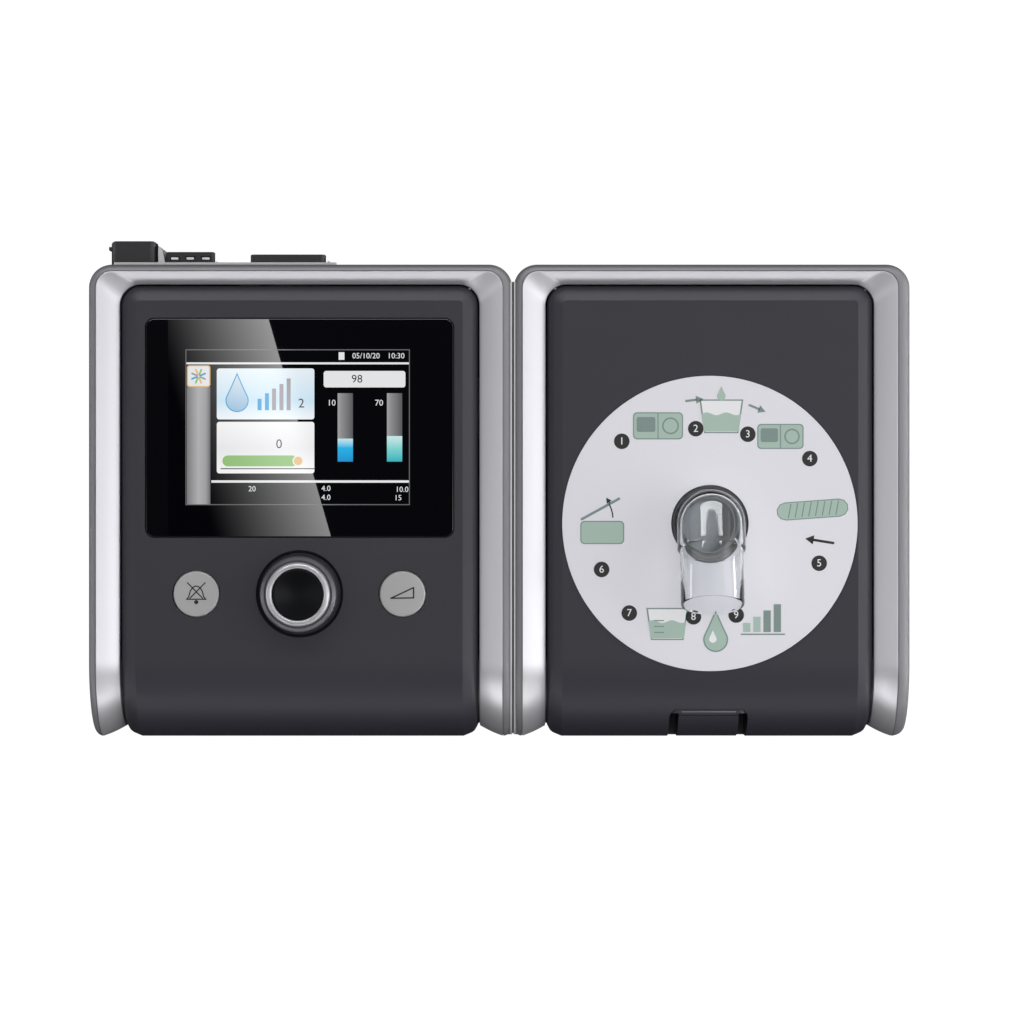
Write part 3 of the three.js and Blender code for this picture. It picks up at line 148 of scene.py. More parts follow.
def surface(name, rgb, rough, tone=0.06, grain=0.5, bump=0.01, spread=0.05, stretch=None, **sockets):
    """A procedural material: base colour with fine and broad variation, roughness variation and a grain bump."""
    made = bpy.data.materials.new(name)
    made.use_nodes = True
    tree = made.node_tree
    rgba = colour(*rgb)
    source = add_node(tree, "TexCoord").outputs["Object"]
    if stretch:
        source = first_of(tree, "Mapping", {"Vector": source, "Scale": stretch})
    fine, broad = [
        first_of(tree, "TexNoise", {"Vector": source, "Scale": scale, "Detail": detail})
        for scale, detail in ((1 / (grain * MM), 3), (26, 4))]
    mean = add_math(tree, "MULTIPLY", add_math(tree, "ADD", fine, broad), 0.5)
    shade = add_node(tree, "Mix", data_type="RGBA")
    feed(tree, shade, {"Factor": mean, "A": toned(rgba, 1 - tone), "B": toned(rgba, 1 + tone)})
    limits = {"To Min": max(0, rough - spread), "To Max": min(1, rough + spread)}
    roughness = first_of(tree, "MapRange", {"Value": mean, **limits})
    shader = tree.nodes["Principled BSDF"]
    feed(tree, shader, {"Base Color": shade.outputs["Result"], "Roughness": roughness})
    if bump:
        relief = first_of(tree, "Bump", {"Strength": 0.6, "Distance": bump * MM, "Height": fine})
        feed(tree, shader, {"Normal": relief})
    feed(tree, shader, {key.replace("_", " "): value for key, value in sockets.items()})
    return made


def lit(name, stops, low=-150, high=10, axis="X", strength=0.85):
    """A glossy lit picture colour, plain or changing along one axis between two places in millimetres."""
    made = surface(name, (0, 0, 0), 0.06, tone=0, bump=0, spread=0.01)
    tree = made.node_tree
    if isinstance(stops, tuple):
        stops = [(0, toned(colour(*stops), 0.97)), (1, colour(*stops))]
    else:
        stops = [(where, colour(*rgb)) for where, *rgb in stops]
    place_in = next(node for node in tree.nodes if node.type == "TEX_COORD").outputs["Object"]
    along = add_node(tree, "SeparateXYZ", {"Vector": place_in}).outputs[axis]
    share = first_of(tree, "MapRange", {"Value": along, "From Min": low * MM, "From Max": high * MM})
    feed(tree, tree.nodes["Principled BSDF"],
         {"Emission Color": add_ramp(tree, share, stops), "Emission Strength": strength})
    return made


SHELL = surface("shell_grey", (120, 120, 124), 0.52, grain=0.35, bump=0.006, Metallic=0.2)
SILVER = surface("silver_paint", (196, 195, 200), 0.36, tone=0.035, grain=0.12, bump=0.003, Metallic=0.55)
PANEL = surface("panel_dark", (38, 36, 46), 0.5, tone=0.07, grain=0.3, bump=0.012, Specular_IOR_Level=0.4)
GLASS = surface("screen_black", (6, 6, 11), 0.006, tone=0.1, bump=0, spread=0.003)
BLACK = surface("black_plastic", (30, 30, 33), 0.4, grain=0.3, bump=0.008)
KNOB = surface("knob_dark", (84, 84, 89), 0.36, grain=0.25, bump=0.004, Metallic=0.5)
COLLAR = surface("collar_dark", (58, 57, 64), 0.3, grain=0.25, bump=0.002)
CAP = surface("knob_cap_black", (5, 6, 10), 0.3, tone=0.1, grain=0.4, bump=0.002, Specular_IOR_Level=0.15)
BUTTON = surface("button_grey", (170, 170, 170), 0.45, tone=0.03, grain=0.2, bump=0.004)
CHROME = surface("ring_silver", (182, 181, 186), 0.26, tone=0.02, grain=0.1, bump=0.001, Metallic=0.3)
LABEL = surface("label_paper", (231, 230, 237), 0.55, tone=0.012, grain=0.15, bump=0.002)
INK = surface("ink_black", (14, 13, 16), 0.5, tone=0.1, bump=0)
INK_GREEN = surface("ink_green", (168, 192, 180), 0.55, tone=0.02, bump=0)
INK_DARK = surface("ink_dark_green", (122, 143, 138), 0.55, tone=0.02, bump=0)
INK_WHITE = surface("ink_white", (240, 240, 242), 0.55, tone=0.01, bump=0)
BOARD = surface("board_green", (32, 92, 56), 0.5, tone=0.12, grain=0.8)
RUBBER = surface("foot_rubber", (33, 33, 35), 0.85, grain=0.4, bump=0.02)
SOFT = surface("silicone_grey", (142, 145, 148), 0.7, grain=0.6)
INNER = surface("inner_plastic", (202, 203, 204), 0.5, tone=0.03, grain=0.4)
STEEL = surface("plated_steel", (160, 162, 165), 0.28, grain=0.15, bump=0.003, stretch=(1, 1, 12), Metallic=1)
ALUMINIUM = surface("rolled_aluminium", (184, 186, 188), 0.3, grain=0.12, bump=0.004, stretch=(14, 1, 1), Metallic=1)
FOAM = surface("filter_foam", (64, 66, 70), 0.95, tone=0.35, grain=1.1, bump=0.4)
TRIM = surface("rear_trim_pale", (206, 206, 210), 0.4, tone=0.03, grain=0.3, bump=0.004)
CLEAR, CHAMBER = [
    surface(name, rgb, rough, tone=0.005, grain=4, bump=0.004, spread=0.01, Transmission_Weight=1, IOR=index,
            Coat_Weight=1, Coat_IOR=coat, Coat_Roughness=0.06)
    for name, rgb, rough, index, coat in (("clear_plastic", (252, 253, 254), 0.02, 1.1, 1.45),
                                           ("chamber_plastic", (232, 238, 242), 0.06, 1.3, 1.4))]


# ---- meshes
class Mesher:
    """Gathers faces by their corner points; corners at one place are one vertex."""

    def __init__(self):
        self.bm = bmesh.new()
        self.at = {}

    def vert(self, point):
        key = tuple(round(c, 4) for c in point)
        if key not in self.at:
            self.at[key] = self.bm.verts.new(key)
        return self.at[key]

    def face(self, points):
        found = list(dict.fromkeys(self.vert(point) for point in points))
        if len(found) > 2 and not self.bm.faces.get(found):
            self.bm.faces.new(found)

    def tube(self, loops):
        """A closed bar through loops of as many points each."""
        for first, second in zip(loops, loops[1:]):
            for i, start in enumerate(first):
                j = (i + 1) % len(first)
                self.face([start, first[j], second[j], second[i]])
        self.face(loops[0])
        self.face(loops[-1][::-1])


def linked(name, data):
    made = bpy.data.objects.new(name, data)
    bpy.context.scene.collection.objects.link(made)
    return made


def as_object(name, bm, materials, angle=32):
    """A linked object in metres from a bmesh in millimetres, smooth with sharp edges over an angle."""
    bmesh.ops.recalc_face_normals(bm, faces=bm.faces)
    bmesh.ops.scale(bm, vec=(MM, MM, MM), verts=bm.verts)
    mesh = bpy.data.meshes.new(name)
    bm.to_mesh(mesh)
    bm.free()
    for each in materials if isinstance(materials, list) else [materials]:
        mesh.materials.append(each)
    made = linked(name, mesh)
    smooth(made, angle)
    return made


def smooth(obj, angle):
    obj.data.polygons.foreach_set("use_smooth", [True] * len(obj.data.polygons))
    obj.data.set_sharp_from_angle(angle=radians(angle))


def evaluated(obj):
    """A new mesh with the object's modifiers applied."""
    bpy.context.view_layer.update()
    return bpy.data.meshes.new_from_object(obj.evaluated_get(bpy.context.evaluated_depsgraph_get()))


def boolean(operation, obj, *others):
    """Applies booleans one by one, and takes the others away."""
    for other in others:
        other.data.materials.clear()
        other.data.materials.append(obj.data.materials[0])
        modifier = obj.modifiers.new("work", "BOOLEAN")
        modifier.operation, modifier.object, modifier.solver = operation, other, "MANIFOLD"
        mesh = evaluated(obj)
        obj.modifiers.clear()
        old, obj.data = obj.data, mesh
        bpy.data.meshes.remove(old)
        mesh.name = obj.name
        bpy.data.objects.remove(other)


cut, join, keep = [partial(boolean, operation) for operation in ("DIFFERENCE", "UNION", "INTERSECT")]


def soften(obj, width=0.25, angle=50, segments=2):
    """Rounds the sharp edges a little, and shades flat faces flat."""
    smooth(obj, 32)
    bevel = obj.modifiers.new("edge_round", "BEVEL")
    bevel.width = width * MM
    bevel.segments = segments
    bevel.limit_method = "ANGLE"
    bevel.angle_limit = radians(angle)
    bevel.use_clamp_overlap = True
    bevel.miter_outer = "MITER_ARC"
    normals = obj.modifiers.new("flat_shading", "WEIGHTED_NORMAL")
    normals.keep_sharp = True
    normals.weight = 100
    return obj


def in_triangles(obj):
    """Splits faces of many corners into triangles."""
    split = obj.modifiers.new("triangles", "TRIANGULATE")
    split.min_vertices = 5
    split.keep_custom_normals = True
    return obj


def place(obj, x=0, y=0, z=0, turn=None):
    """Moves an object's mesh, after turning it about the origin."""
    if turn:
        obj.data.transform(turn)
    obj.data.transform(Matrix.Translation((x * MM, y * MM, z * MM)))
    return obj


def around(radius, angle):
    return (radius * cos(angle), radius * sin(angle))


def lathe(name, outline, material, sides=ROUND, angle=32):
    """A solid of revolution about Z from a closed outline of radius and height."""
    mesh = Mesher()
    for i in range(sides):
        a, b = 2 * pi * i / sides, 2 * pi * (i + 1) / sides
        for (r0, z0), (r1, z1) in zip(outline, outline[1:] + outline[:1]):
            if r0 or r1:
                mesh.face([(*around(r0, a), z0), (*around(r0, b), z0), (*around(r1, b), z1), (*around(r1, a), z1)])
    return as_object(name, mesh.bm, material, angle)


def rod(radius, low, high, sides=ROUND):
    return lathe("rod", [(0, low), (radius, low), (radius, high), (0, high)], PANEL, sides)


def prism(outline, low, high, name="prism", material=None):
    """A closed solid with a flat outline in X and Y, between two heights."""
    mesh = Mesher()
    mesh.face([(x, y, high) for x, y in outline])
    mesh.face([(x, y, low) for x, y in reversed(outline)])
    for (x0, y0), (x1, y1) in zip(outline, outline[1:] + outline[:1]):
        mesh.face([(x0, y0, low), (x1, y1, low), (x1, y1, high), (x0, y0, high)])
    return as_object(name, mesh.bm, material or PANEL)


def block(low, high, name="block", material=None):
    (x0, y0, z0), (x1, y1, z1) = low, high
    return prism([(x0, y0), (x1, y0), (x1, y1), (x0, y1)], z0, z1, name, material)


def arc(cx, cy, radius, start, end, steps):
    """Points on an arc, from one angle to another in degrees."""
    found = []
    for i in range(steps + 1):
        dx, dy = around(radius, radians(start + (end - start) * i / steps))
        found.append((cx + dx, cy + dy))
    return found


def rounded(width, height, radius, cx=0, cy=0, steps=10):
    w, h = width / 2 - radius, height / 2 - radius
    found = []
    for sx, sy, start in ((1, 1, 0), (-1, 1, 90), (-1, -1, 180), (1, -1, 270)):
        found += arc(cx + sx * w, cy + sy * h, radius, start, start + 90, steps)
    return found


TURN_X = Matrix.Rotation(pi / 2, 4, "X")
TURN_Y = Matrix.Rotation(pi / 2, 4, "Y")
TURN_SIDE = Matrix(((0, 0, 1, 0), (1, 0, 0, 0), (0, 1, 0, 0), (0, 0, 0, 1)))


def wall_prism(outline, y0, y1, name="wall", material=None):
    """A closed solid with a flat outline in X and Z, between two places along Y."""
    return place(prism(outline, -y1, -y0, name, material), turn=TURN_X)


def side_prism(outline, x0, x1, name="side", material=None):
    """A closed solid with a flat outline in Y and Z, between two places along X."""
    return place(prism(outline, x0, x1, name, material), turn=TURN_SIDE)


def rod_x(radius, x0, x1, y, z):
    return place(rod(radius, x0, x1, 48), 0, y, z, TURN_Y)


def rod_y(radius, x, y0, y1, z):
    return place(rod(radius, -y1, -y0, 48), x, 0, z, TURN_X)


# ---- the skin both modules follow
def front_curve(turn, lift=0):
    """Y and Z on the round front edge at an angle from the top, lifted off the skin."""
    return (ARC_Y - (RADIUS + lift) * sin(turn), ARC_Z + (RADIUS + lift) * cos(turn))


def on_skin(x, along, lift):
    """A point that runs from the rear along the top, round the front edge and down the front."""
    if along <= ARC_START:
        return (x, REAR - along, TOP + lift)
    turn = (along - ARC_START) / RADIUS
    if turn >= pi / 2:
        return (x, FRONT - lift, ARC_Z - (along - ARC_START - ARC_LENGTH))
    return (x, *front_curve(turn, lift))


def ring_sides(ring, bottom):
    """The two sides of a ring that runs up the front, back along the top and round the rear corners."""
    x0, x1, rear, corner, lift = ring
    places = [(0, ARC_START + ARC_LENGTH + ARC_Z - bottom)]
    places += [(0, ARC_START + step / FRONT_STEPS * ARC_LENGTH) for step in range(FRONT_STEPS, -1, -1)]
    for step in range(CORNER_STEPS + 1):
        turn = step / CORNER_STEPS * pi / 2
        places.append((corner * (1 - cos(turn)), rear + corner * (1 - sin(turn))))
    return [[on_skin(x0 + x, along, lift) for x, along in places],
            [on_skin(x1 - x, along, lift) for x, along in places]]


def skin_solid(name, rings, bottom, kind, material):
    """A closed solid that follows the skin: a shell, a strip from a closed loop of rings, or a full block."""
    mesh = Mesher()
    sides = [ring_sides(ring, bottom) for ring in rings]
    if kind == "block":
        sides.append([[(x, y, bottom) for x, y, _ in side] for side in sides[-1]])
    last = len(sides[0][0]) - 1

    def strip(upper, lower):
        for i in range(last):
            mesh.face([upper[0][i], upper[0][i + 1], lower[0][i + 1], lower[0][i]])
            mesh.face([upper[1][i + 1], upper[1][i], lower[1][i], lower[1][i + 1]])
        mesh.face([upper[0][last], upper[1][last], lower[1][last], lower[0][last]])

    def cap(pair):
        for i in range(last):
            mesh.face([pair[0][i], pair[1][i], pair[1][i + 1], pair[0][i + 1]])

    for upper, lower in zip(sides, sides[1:]):
        strip(upper, lower)
    starts = [[pair[side][0] for pair in sides] for side in (0, 1)]
    if kind == "strip":
        strip(sides[-1], sides[0])
        mesh.face(starts[0])
        mesh.face(starts[1])
    else:
        cap(sides[0])
        if kind == "shell":
            cap(sides[-1])
            mesh.face([*reversed(starts[1]), *starts[0]])
        else:
            outer = sides[-1]
            mesh.face([*outer[0], *reversed(outer[1]), *reversed(starts[1][:-1]), *starts[0][:-1]])
    bmesh.ops.dissolve_limit(mesh.bm, angle_limit=radians(0.4), verts=mesh.bm.verts, edges=mesh.bm.edges)
    return as_object(name, mesh.bm, material)


# Rings are (left, right, rear, corner radius, lift off the skin)
def crest(unit, inwards, rear_inwards, corner, lift):
    return (unit["left"] + unit["band_left"] + inwards, unit["right"] - unit["band_right"] - inwards,
            REAR_BAND + rear_inwards, corner, lift)


def band(unit, share):
    inwards = 1 - cos(share * pi / 2)
    return (unit["left"] + unit["band_left"] * inwards, unit["right"] - unit["band_right"] * inwards,
            REAR_BAND * inwards, OUTER_CORNER + (CREST_CORNER - OUTER_CORNER) * share,
            BAND_DROP * (sin(share * pi / 2) - 1))


# Inwards and lift: a crisp inner line, a bevel and a round outer edge, then the skirt and the under side
PANEL_EDGE = [(5.5, 0), (5.35, -0.02), (5.1, -0.1), (3.6, -0.72), (2.2, -1.32), (1.35, -2), (0.8, -2.9),
              (0.4, -3.7), (0.13, -4.2), (0, -4.6), (0, -SKIRT), (SHEET, -SKIRT), (SHEET + GAP, -SHEET - GAP),
              (SHEET + GAP * 2, -SHEET)]


def panel_ring(unit, inwards, lift):
    corner = max(INNER_CORNER - GAP - inwards, GAP)
    return crest(unit, RAIL + GAP + inwards, REAR_BAR + GAP + inwards, corner, lift)


def panel_shell(unit, name):
    return skin_solid(name, [panel_ring(unit, *edge) for edge in PANEL_EDGE], FOOT, "shell", PANEL)


def panel_trim(unit, inwards, lift):
    """A block under a lifted panel, to keep a piece within."""
    return skin_solid("trim", [panel_ring(unit, inwards, lift)], FOOT, "block", PANEL)


def housing(unit, name):
    drop = RAIL_THICK + FIT
    seat, brim = 0.03, 0.05
    rings = [
        crest(unit, RAIL, REAR_BAR, INNER_CORNER, -RAIL_DROP - drop),
        crest(unit, -seat, -seat, CREST_CORNER + seat, -drop),
        crest(unit, -seat, -seat, CREST_CORNER + seat, -FIT),
        crest(unit, -FIT, -FIT, CREST_CORNER + FIT, -FIT - brim),
        crest(unit, -FIT, -FIT, CREST_CORNER + FIT, 0),
    ]
    rings += [band(unit, step / EDGE_STEPS) for step in range(EDGE_STEPS - 1, -1, -1)]
    made = skin_solid(name, rings, FOOT, "block", SHELL)
    hollow = (unit["left"] + WALL, unit["right"] - WALL, WALL, OUTER_CORNER - WALL, -RAIL_DROP - drop - LEDGE)
    mouth = crest(unit, RAIL, REAR_BAR, INNER_CORNER, 1)
    cut(made, *[skin_solid("hollow", [ring], FOOT - 1, "block", SHELL) for ring in (hollow, mouth)])
    return made


def rail_frame(unit, name):
    """The silver frame: a gently crowned bevel with a thin round crest."""
    rings = []
    for share in [i / 8 for i in range(8, -1, -1)]:
        crown = 0.28 * sin(share * pi)
        corner = CREST_CORNER + (INNER_CORNER - CREST_CORNER) * share
        rings.append(crest(unit, RAIL * share, REAR_BAR * share, corner, -RAIL_DROP * share + crown))
    rings += [crest(unit, 0, 0, CREST_CORNER, -RAIL_THICK),
              crest(unit, RAIL, REAR_BAR, INNER_CORNER, -RAIL_DROP - RAIL_THICK)]
    return soften(skin_solid(name, rings, FOOT, "strip", SILVER), 0.22, 55)


# ---- attaching pieces
def own(obj, body, slot, *nodes):
    """The piece rides on a body and hides the CAD nodes it stands for; the slot is not used."""
    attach(obj, body)
    if nodes:
        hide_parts(*nodes)


def turned(name, outline, material, where, owner, sides=144, angle=32):
    """A lathe piece at a place, riding on its body in place of its CAD node."""
    own(place(lathe(name, outline, material, sides, angle), *where), *owner)


# ---- main unit
def side_curve(lift):
    """Y and Z along the front curve of a side, from the top down."""
    return [front_curve(radians(90) * i / 24, lift) for i in range(25)]


def side_strip(name, x, wide, outer, inner):
    """A black strip along a side's front curve and front, between two depths under the skin."""
    outline = [*side_curve(-outer), (FRONT + outer, FOOT + 2), (FRONT + inner, FOOT + 2),
               *reversed(side_curve(-inner))]
    return side_prism(outline, x, x + wide, name, BLACK)


def gap_shade_strips(unit, name):
    """Black strips under the gaps between the silver rails and the panel, each with a thin fin up the gap; their
    black is painted shade in the gaps.
    """
    low, high = unit["left"] + unit["band_left"] + RAIL, unit["right"] - unit["band_right"] - RAIL
    for side, x, fin_x in (("left", low + 0.05, low + 0.04), ("right", high - 2.55, high - 0.46)):
        strip = side_strip("%s_gap_strip_%s" % (name, side), x, 2.5, SKIRT + 0.3, SKIRT + 1.3)
        join(strip, side_strip("fin", fin_x, 0.42, 4.7, 7.6))
        own(soften(strip, 0.08), "machine", "black")


def docking_piece(name, x0, x1, depth, shown, material, slot, start=0):
    """A piece beside the seam; its depth under the skin lessens on the front curve."""
    points = []
    for bow in [i * 3.75 for i in range(start, 25)]:
        rise = min(max((bow - 35) / 35, 0), 1)
        rise *= rise * (3 - 2 * rise)
        points.append(front_curve(radians(bow), shown * rise - depth * (1 - rise)))
    points.append((FRONT - shown, FOOT + 2))
    if start:
        points.append((FRONT + 6, FOOT + 2))
    else:
        points += [(REAR - 6, FOOT + 2), (REAR - 6, TOP - depth - 0.4), (REAR - 7, TOP - depth)]
    own(soften(side_prism(points, x0, x1, name, material), 0.05), "machine", slot)


# The black seam piece is painted shade in the gap between the two units; the pale beads beside it are painted
# highlight lines along the seam's edges, and the grey lips are plain housing.
docking_piece("docking_seam_shade", 4.5, 5.2, BAND_DROP + 0.6, -0.9, BLACK, "black")
docking_piece("docking_highlight_left", 3.9, 4.55, 1.25, -0.5, TRIM, "shell")
docking_piece("docking_highlight_right", 5.15, 5.8, 1.25, -0.5, TRIM, "shell")
docking_piece("docking_lip_left", 2.8, 3.95, BAND_DROP + 0.4, -0.5, SHELL, "shell", 8)
docking_piece("docking_lip_right", 5.75, 6.9, BAND_DROP + 0.4, -0.5, SHELL, "shell", 8)

# Rear openings with the pieces that fill them, and the air outlet in the side
INLET_X, PORT_X, SOCKET_Z = -131.6, -111.6, 62.5
AIR_Y, AIR_Z = 28.5, 72
main_shell = housing(MAIN, "main_shell")
gap_shade_strips(MAIN, "main")
cut(main_shell, rod_x(11.3, 0, 6, AIR_Y, AIR_Z),
    *[block((x - 5.2, 70, 55.7), (x + 5.2, 80, 69.3)) for x in (INLET_X, PORT_X)],
    block((-89.25, 70, 46), (-64.75, 80, 83)))
own(soften(main_shell), "machine", "shell", "main_housing")
own(rail_frame(MAIN, "main_silver_frame"), "machine", "silver", "main_frame")

main_top = panel_shell(MAIN, "main_top_panel")
recess = lathe("recess", [(0, TOP - 2), (14.4, TOP - 2), (15.4, TOP), (15.4, TOP + 1), (0, TOP + 1)], PANEL)
cut(main_top, prism(rounded(109.2, 77.7, 3.5, MAIN_X, SCREEN_Y), TOP - 1.7, TOP + 1),
    place(recess, MAIN_X, CONTROLS_Y), place(rod(3.4, *BORE, 48), MAIN_X, CONTROLS_Y),
    *[place(rod(8.5, *BORE), MAIN_X + side * BUTTON_X, CONTROLS_Y) for side in (-1, 1)])
own(soften(main_top), "machine", "panel", "main_panel")

screen_cover = prism(rounded(108.6, 77.1, 3.2, MAIN_X, SCREEN_Y, 16), 104.1, GLASS_TOP, "screen_cover", GLASS)
own(soften(screen_cover, 0.3, segments=3), "machine", "screen", "screen_glass")

key_line = [(0, -5.25), (2, -5.25), (2, -4.7), (9.4, -4.7), (9.4, -3.3), (8, -3.3), (8, 0.2)]
key_line += [(r + 7.4, z + 0.2) for r, z in arc(0, 0, 0.6, 0, 90, 6)] + [(4, 0.84), (0, 0.86)]
grip_line = [(0, -6), (3, -6), (3, -1), (13.1, -1), (13.5, -0.6), (13.5, 2), (13.45, 6), (13.35, 8.6),
             (13.22, 8.86), (12.95, 9.1), (12.2, 9.62), (11.95, 9.8), (11.85, 9.3), (11.35, 9.3), (11.3, 10.3),
             (0, 10.3)]
ring_line = [(9.15, 10.6), (11.25, 10.6), (11.25, 11.2), (11.1, 11.75), (10.75, 12.2), (10.2, 12.45), (9.6, 12.45),
             (9.25, 12.2), (9.15, 11.9)]
cap_line = [(0, 10.6), (8.95, 10.6), (8.95, 11.5), (8.8, 11.75)]
cap_line += [(8.6 * (1 - i / 12), 11.8 - 0.9 * sin(i / 12 * pi / 2)) for i in range(13)]
for side, name in ((-1, "mute"), (1, "ramp")):
    turned(name + "_key", key_line, BUTTON, (MAIN_X + side * BUTTON_X, CONTROLS_Y, TOP),
           (name + "_key", "button", name + "_button"), ROUND)
knob_at = (MAIN_X, CONTROLS_Y, TOP)
turned("knob_grip", grip_line, KNOB, knob_at, ("knob", "black", "knob_body"), angle=40)
turned("knob_bright_ring", ring_line, CHROME, knob_at, ("knob", "chrome", "knob_ring"), angle=50)
turned("knob_top_cap", cap_line, CAP, knob_at, ("knob", "black", "knob_cap"), angle=50)


# Rear of the main unit
def drafted(x0, x1, low, high, corner):
    """A block's outline in X and Z with round corners, narrower below by a draft in millimetres."""
    draft, middle, half = 2.1, (x0 + x1) / 2, (x1 - x0) / 2
    return [(middle + (x - middle) * (1 - draft * (high - z) / (high - low) / half), z)
            for x, z in rounded(x1 - x0, high - low, corner, middle, (low + high) / 2, 6)]


def rear_block(name, x0, x1, low, high, reach, corner, round_plan):
    made = wall_prism(drafted(x0, x1, low, high, corner), REAR + FIT, REAR + reach, name, BLACK)
    keep(made, prism(rounded(x1 - x0, reach * 2, round_plan, (x0 + x1) / 2, REAR, 8), low - 1, high + 1))
    return made


def tongue(x):
    """The part of a socket that runs through the rear wall."""
    return block((x - 5, 67, 56), (x + 5, REAR + 1, 69))


PLATE = 0.65
rear_plate = wall_prism(rounded(81.5, 46, 4, -98.25, 64.5), REAR, REAR + PLATE, "rear_plate", TRIM)
cut(rear_plate, block((-91.6, 70, 43.7), (-61, 82, 85.3)),
    *[wall_prism(rounded(w + 0.4, 25.4, 3.2, x, SOCKET_Z), 70, 82) for x, w in ((INLET_X, 16.5), (PORT_X, 18))])
join(rear_plate, wall_prism(rounded(79.5, 2.6, 0.8, -98, 87.4, 4), REAR - 0.3, REAR + 1.75))
own(soften(rear_plate, 0.2), "machine", "shell")

power = rear_block("power_socket", -140.5, -123.4, 50, 75, 10.3, 3, 2)
join(power, tongue(INLET_X), block((-141.1, 85.6, 60), (-139.8, 86.8, 73.6)),
     block((-124.4, 82.8, 56.5), (-122.9, 85.2, 72.5)))
cut(power, wall_prism(rounded(12, 18.6, 2.2, INLET_X, SOCKET_Z), REAR + 7.6, REAR + 12),
    rod_y(3.2, INLET_X, 80.5, 90.5, SOCKET_Z))
join(power, rod_y(1, INLET_X, 79.5, 88, SOCKET_Z))
own(soften(power, 0.4, segments=3), "machine", "black", "power_inlet")

port = rear_block("data_socket", -120.6, -102.6, 50, 75, 6.4, 1.4, 0.9)
join(port, tongue(PORT_X))
slots = [PORT_X + dx for dx in (-5.65, 0, 5.65)]
cut(port, *[block((x - 1.7, REAR + 3.35, 40), (x + 1.7, REAR + 4.75, 80)) for x in slots])
cut(port, wall_prism(rounded(12, 7, 1, PORT_X, SOCKET_Z), REAR + 5.2, REAR + 8))
own(soften(port, 0.3), "machine", "black", "data_port")
for i, x in enumerate(slots):
    tab = block((x - 1.35, REAR + 3.6, 51), (x + 1.35, REAR + 4.45, 75.2), "port_tab_%d" % (i + 1), INK_WHITE)
    own(soften(tab, 0.2), "machine", "inner")

vent = rear_block("filter_cover", -89.35, -62.1, 44, 85, 4.8, 2, 0.8)
VENT_LOW, VENT_HIGH, LOUVRE = 46.4, 82.6, 2.4
join(vent, block((-88.85, REAR - 2.1, VENT_LOW), (-65.15, REAR + 1, VENT_HIGH)))
for i in range(6):
    middle = VENT_LOW + (VENT_HIGH - VENT_LOW) / 6 * (i + 0.5)
    cut(vent, block((-86.45, REAR - 4, middle - LOUVRE / 2), (-67.55, REAR + 6, middle + LOUVRE / 2)))
own(soften(vent, 0.4, segments=3), "filter_cover", "black", "filter_cap")

GUSSETS = [(-123.2, 2.4, 8.6, 49.6, 75), (-102.4, 1.9, 3, 49.6, 75), (-61.6, 1.6, 2.6, 44, 85)]
for i, (x, wide, deep, low, high) in enumerate(GUSSETS):
    curve = [(x, REAR - 0.6), (x + wide, REAR - 0.6)]
    curve += [(x + wide * c, REAR + PLATE + (deep - PLATE) * s) for c, s in arc(0, 0, 1, 0, 90, 10)]
    own(soften(prism(curve, low, high, "rear_gusset_%d" % (i + 1), TRIM), 0.2), "machine", "shell")


# ---- humidifier
EAR, BARREL = 3.5, 12
wet_shell = housing(WET, "humidifier_shell")
gap_shade_strips(WET, "humidifier")
cut(wet_shell, rod_x(13.2, 4.1, 8.6, AIR_Y, AIR_Z))
wet_edges = [(-1, WET["left"] + WET["band_left"] + RAIL + GAP + SHEET + 10),
             (1, WET["right"] - WET["band_right"] - RAIL - GAP - SHEET - 10)]
for side, edge in wet_edges:
    start = edge if side > 0 else edge - EAR
    ear = side_prism([(HINGE_Y - 3.5, HINGE_Z), (HINGE_Y - 3.5, HINGE_Z - 10.5), (REAR - WALL + FIT, HINGE_Z - 14.5),
                      (REAR - WALL + FIT, HINGE_Z - 8), (HINGE_Y + 1.5, HINGE_Z - 6.4), (HINGE_Y + 1.5, HINGE_Z)],
                     start, start + EAR)
    join(wet_shell, ear, rod_x(3.5, start, start + EAR, HINGE_Y, HINGE_Z))
    cut(wet_shell, rod_x(1.8, start - 1, start + EAR + 1, HINGE_Y, HINGE_Z))
own(soften(wet_shell), "machine", "shell", "humidifier_housing")
own(rail_frame(WET, "humidifier_silver_frame"), "machine", "silver", "humidifier_frame")


def latch_slab(grown, y0, y1, half=14, low=70, high=99.5, corner=3, name="slab"):
    """A slab as wide as the latch's slot, round at its upper corners."""
    half, low, high = half + grown, low - grown, high + grown
    outline = [(LID_X - half, low), (LID_X + half, low), *arc(LID_X + half - corner, high - corner, corner, 0, 90, 8),
               *arc(LID_X - half + corner, high - corner, corner, 90, 180, 8)]
    return wall_prism(outline, y0, y1, name, PANEL)


def centred(half, y0, y1, z0, z1):
    """A block about the middle of the lid."""
    return block((LID_X - half, y0, z0), (LID_X + half, y1, z1))


lid_top = panel_shell(WET, "lid_top_panel")
cut(lid_top, block((0, FRONT - 5, -5), (150, ARC_Y, LID_BOTTOM)), latch_slab(0, FRONT - 1, FRONT + 23),
    place(rod(HOLE_R, *BORE), LID_X, ELBOW_Y), place(rod(LABEL_R + FIT, TOP - 0.9, TOP + 1, 192), LID_X, ELBOW_Y))
for side, edge in wet_edges:
    pocket = edge - FIT if side > 0 else edge - EAR - FIT
    barrel = edge - FIT - BARREL if side > 0 else edge + FIT
    cut(lid_top, rod_x(4, pocket, pocket + 4.1, HINGE_Y, HINGE_Z),
        block((pocket, HINGE_Y - 4, HINGE_Z - 7), (pocket + 4.1, REAR, HINGE_Z)))
    join(lid_top, rod_x(3.5, barrel, barrel + BARREL, HINGE_Y, HINGE_Z),
         block((barrel, HINGE_Y - 3.5, HINGE_Z), (barrel + BARREL, HINGE_Y + 3.5, TOP - 2)))
    cut(lid_top, rod_x(1.8, barrel - 1, barrel + BARREL + 1, HINGE_Y, HINGE_Z))
well = latch_slab(1.5, FRONT, FRONT + 12)
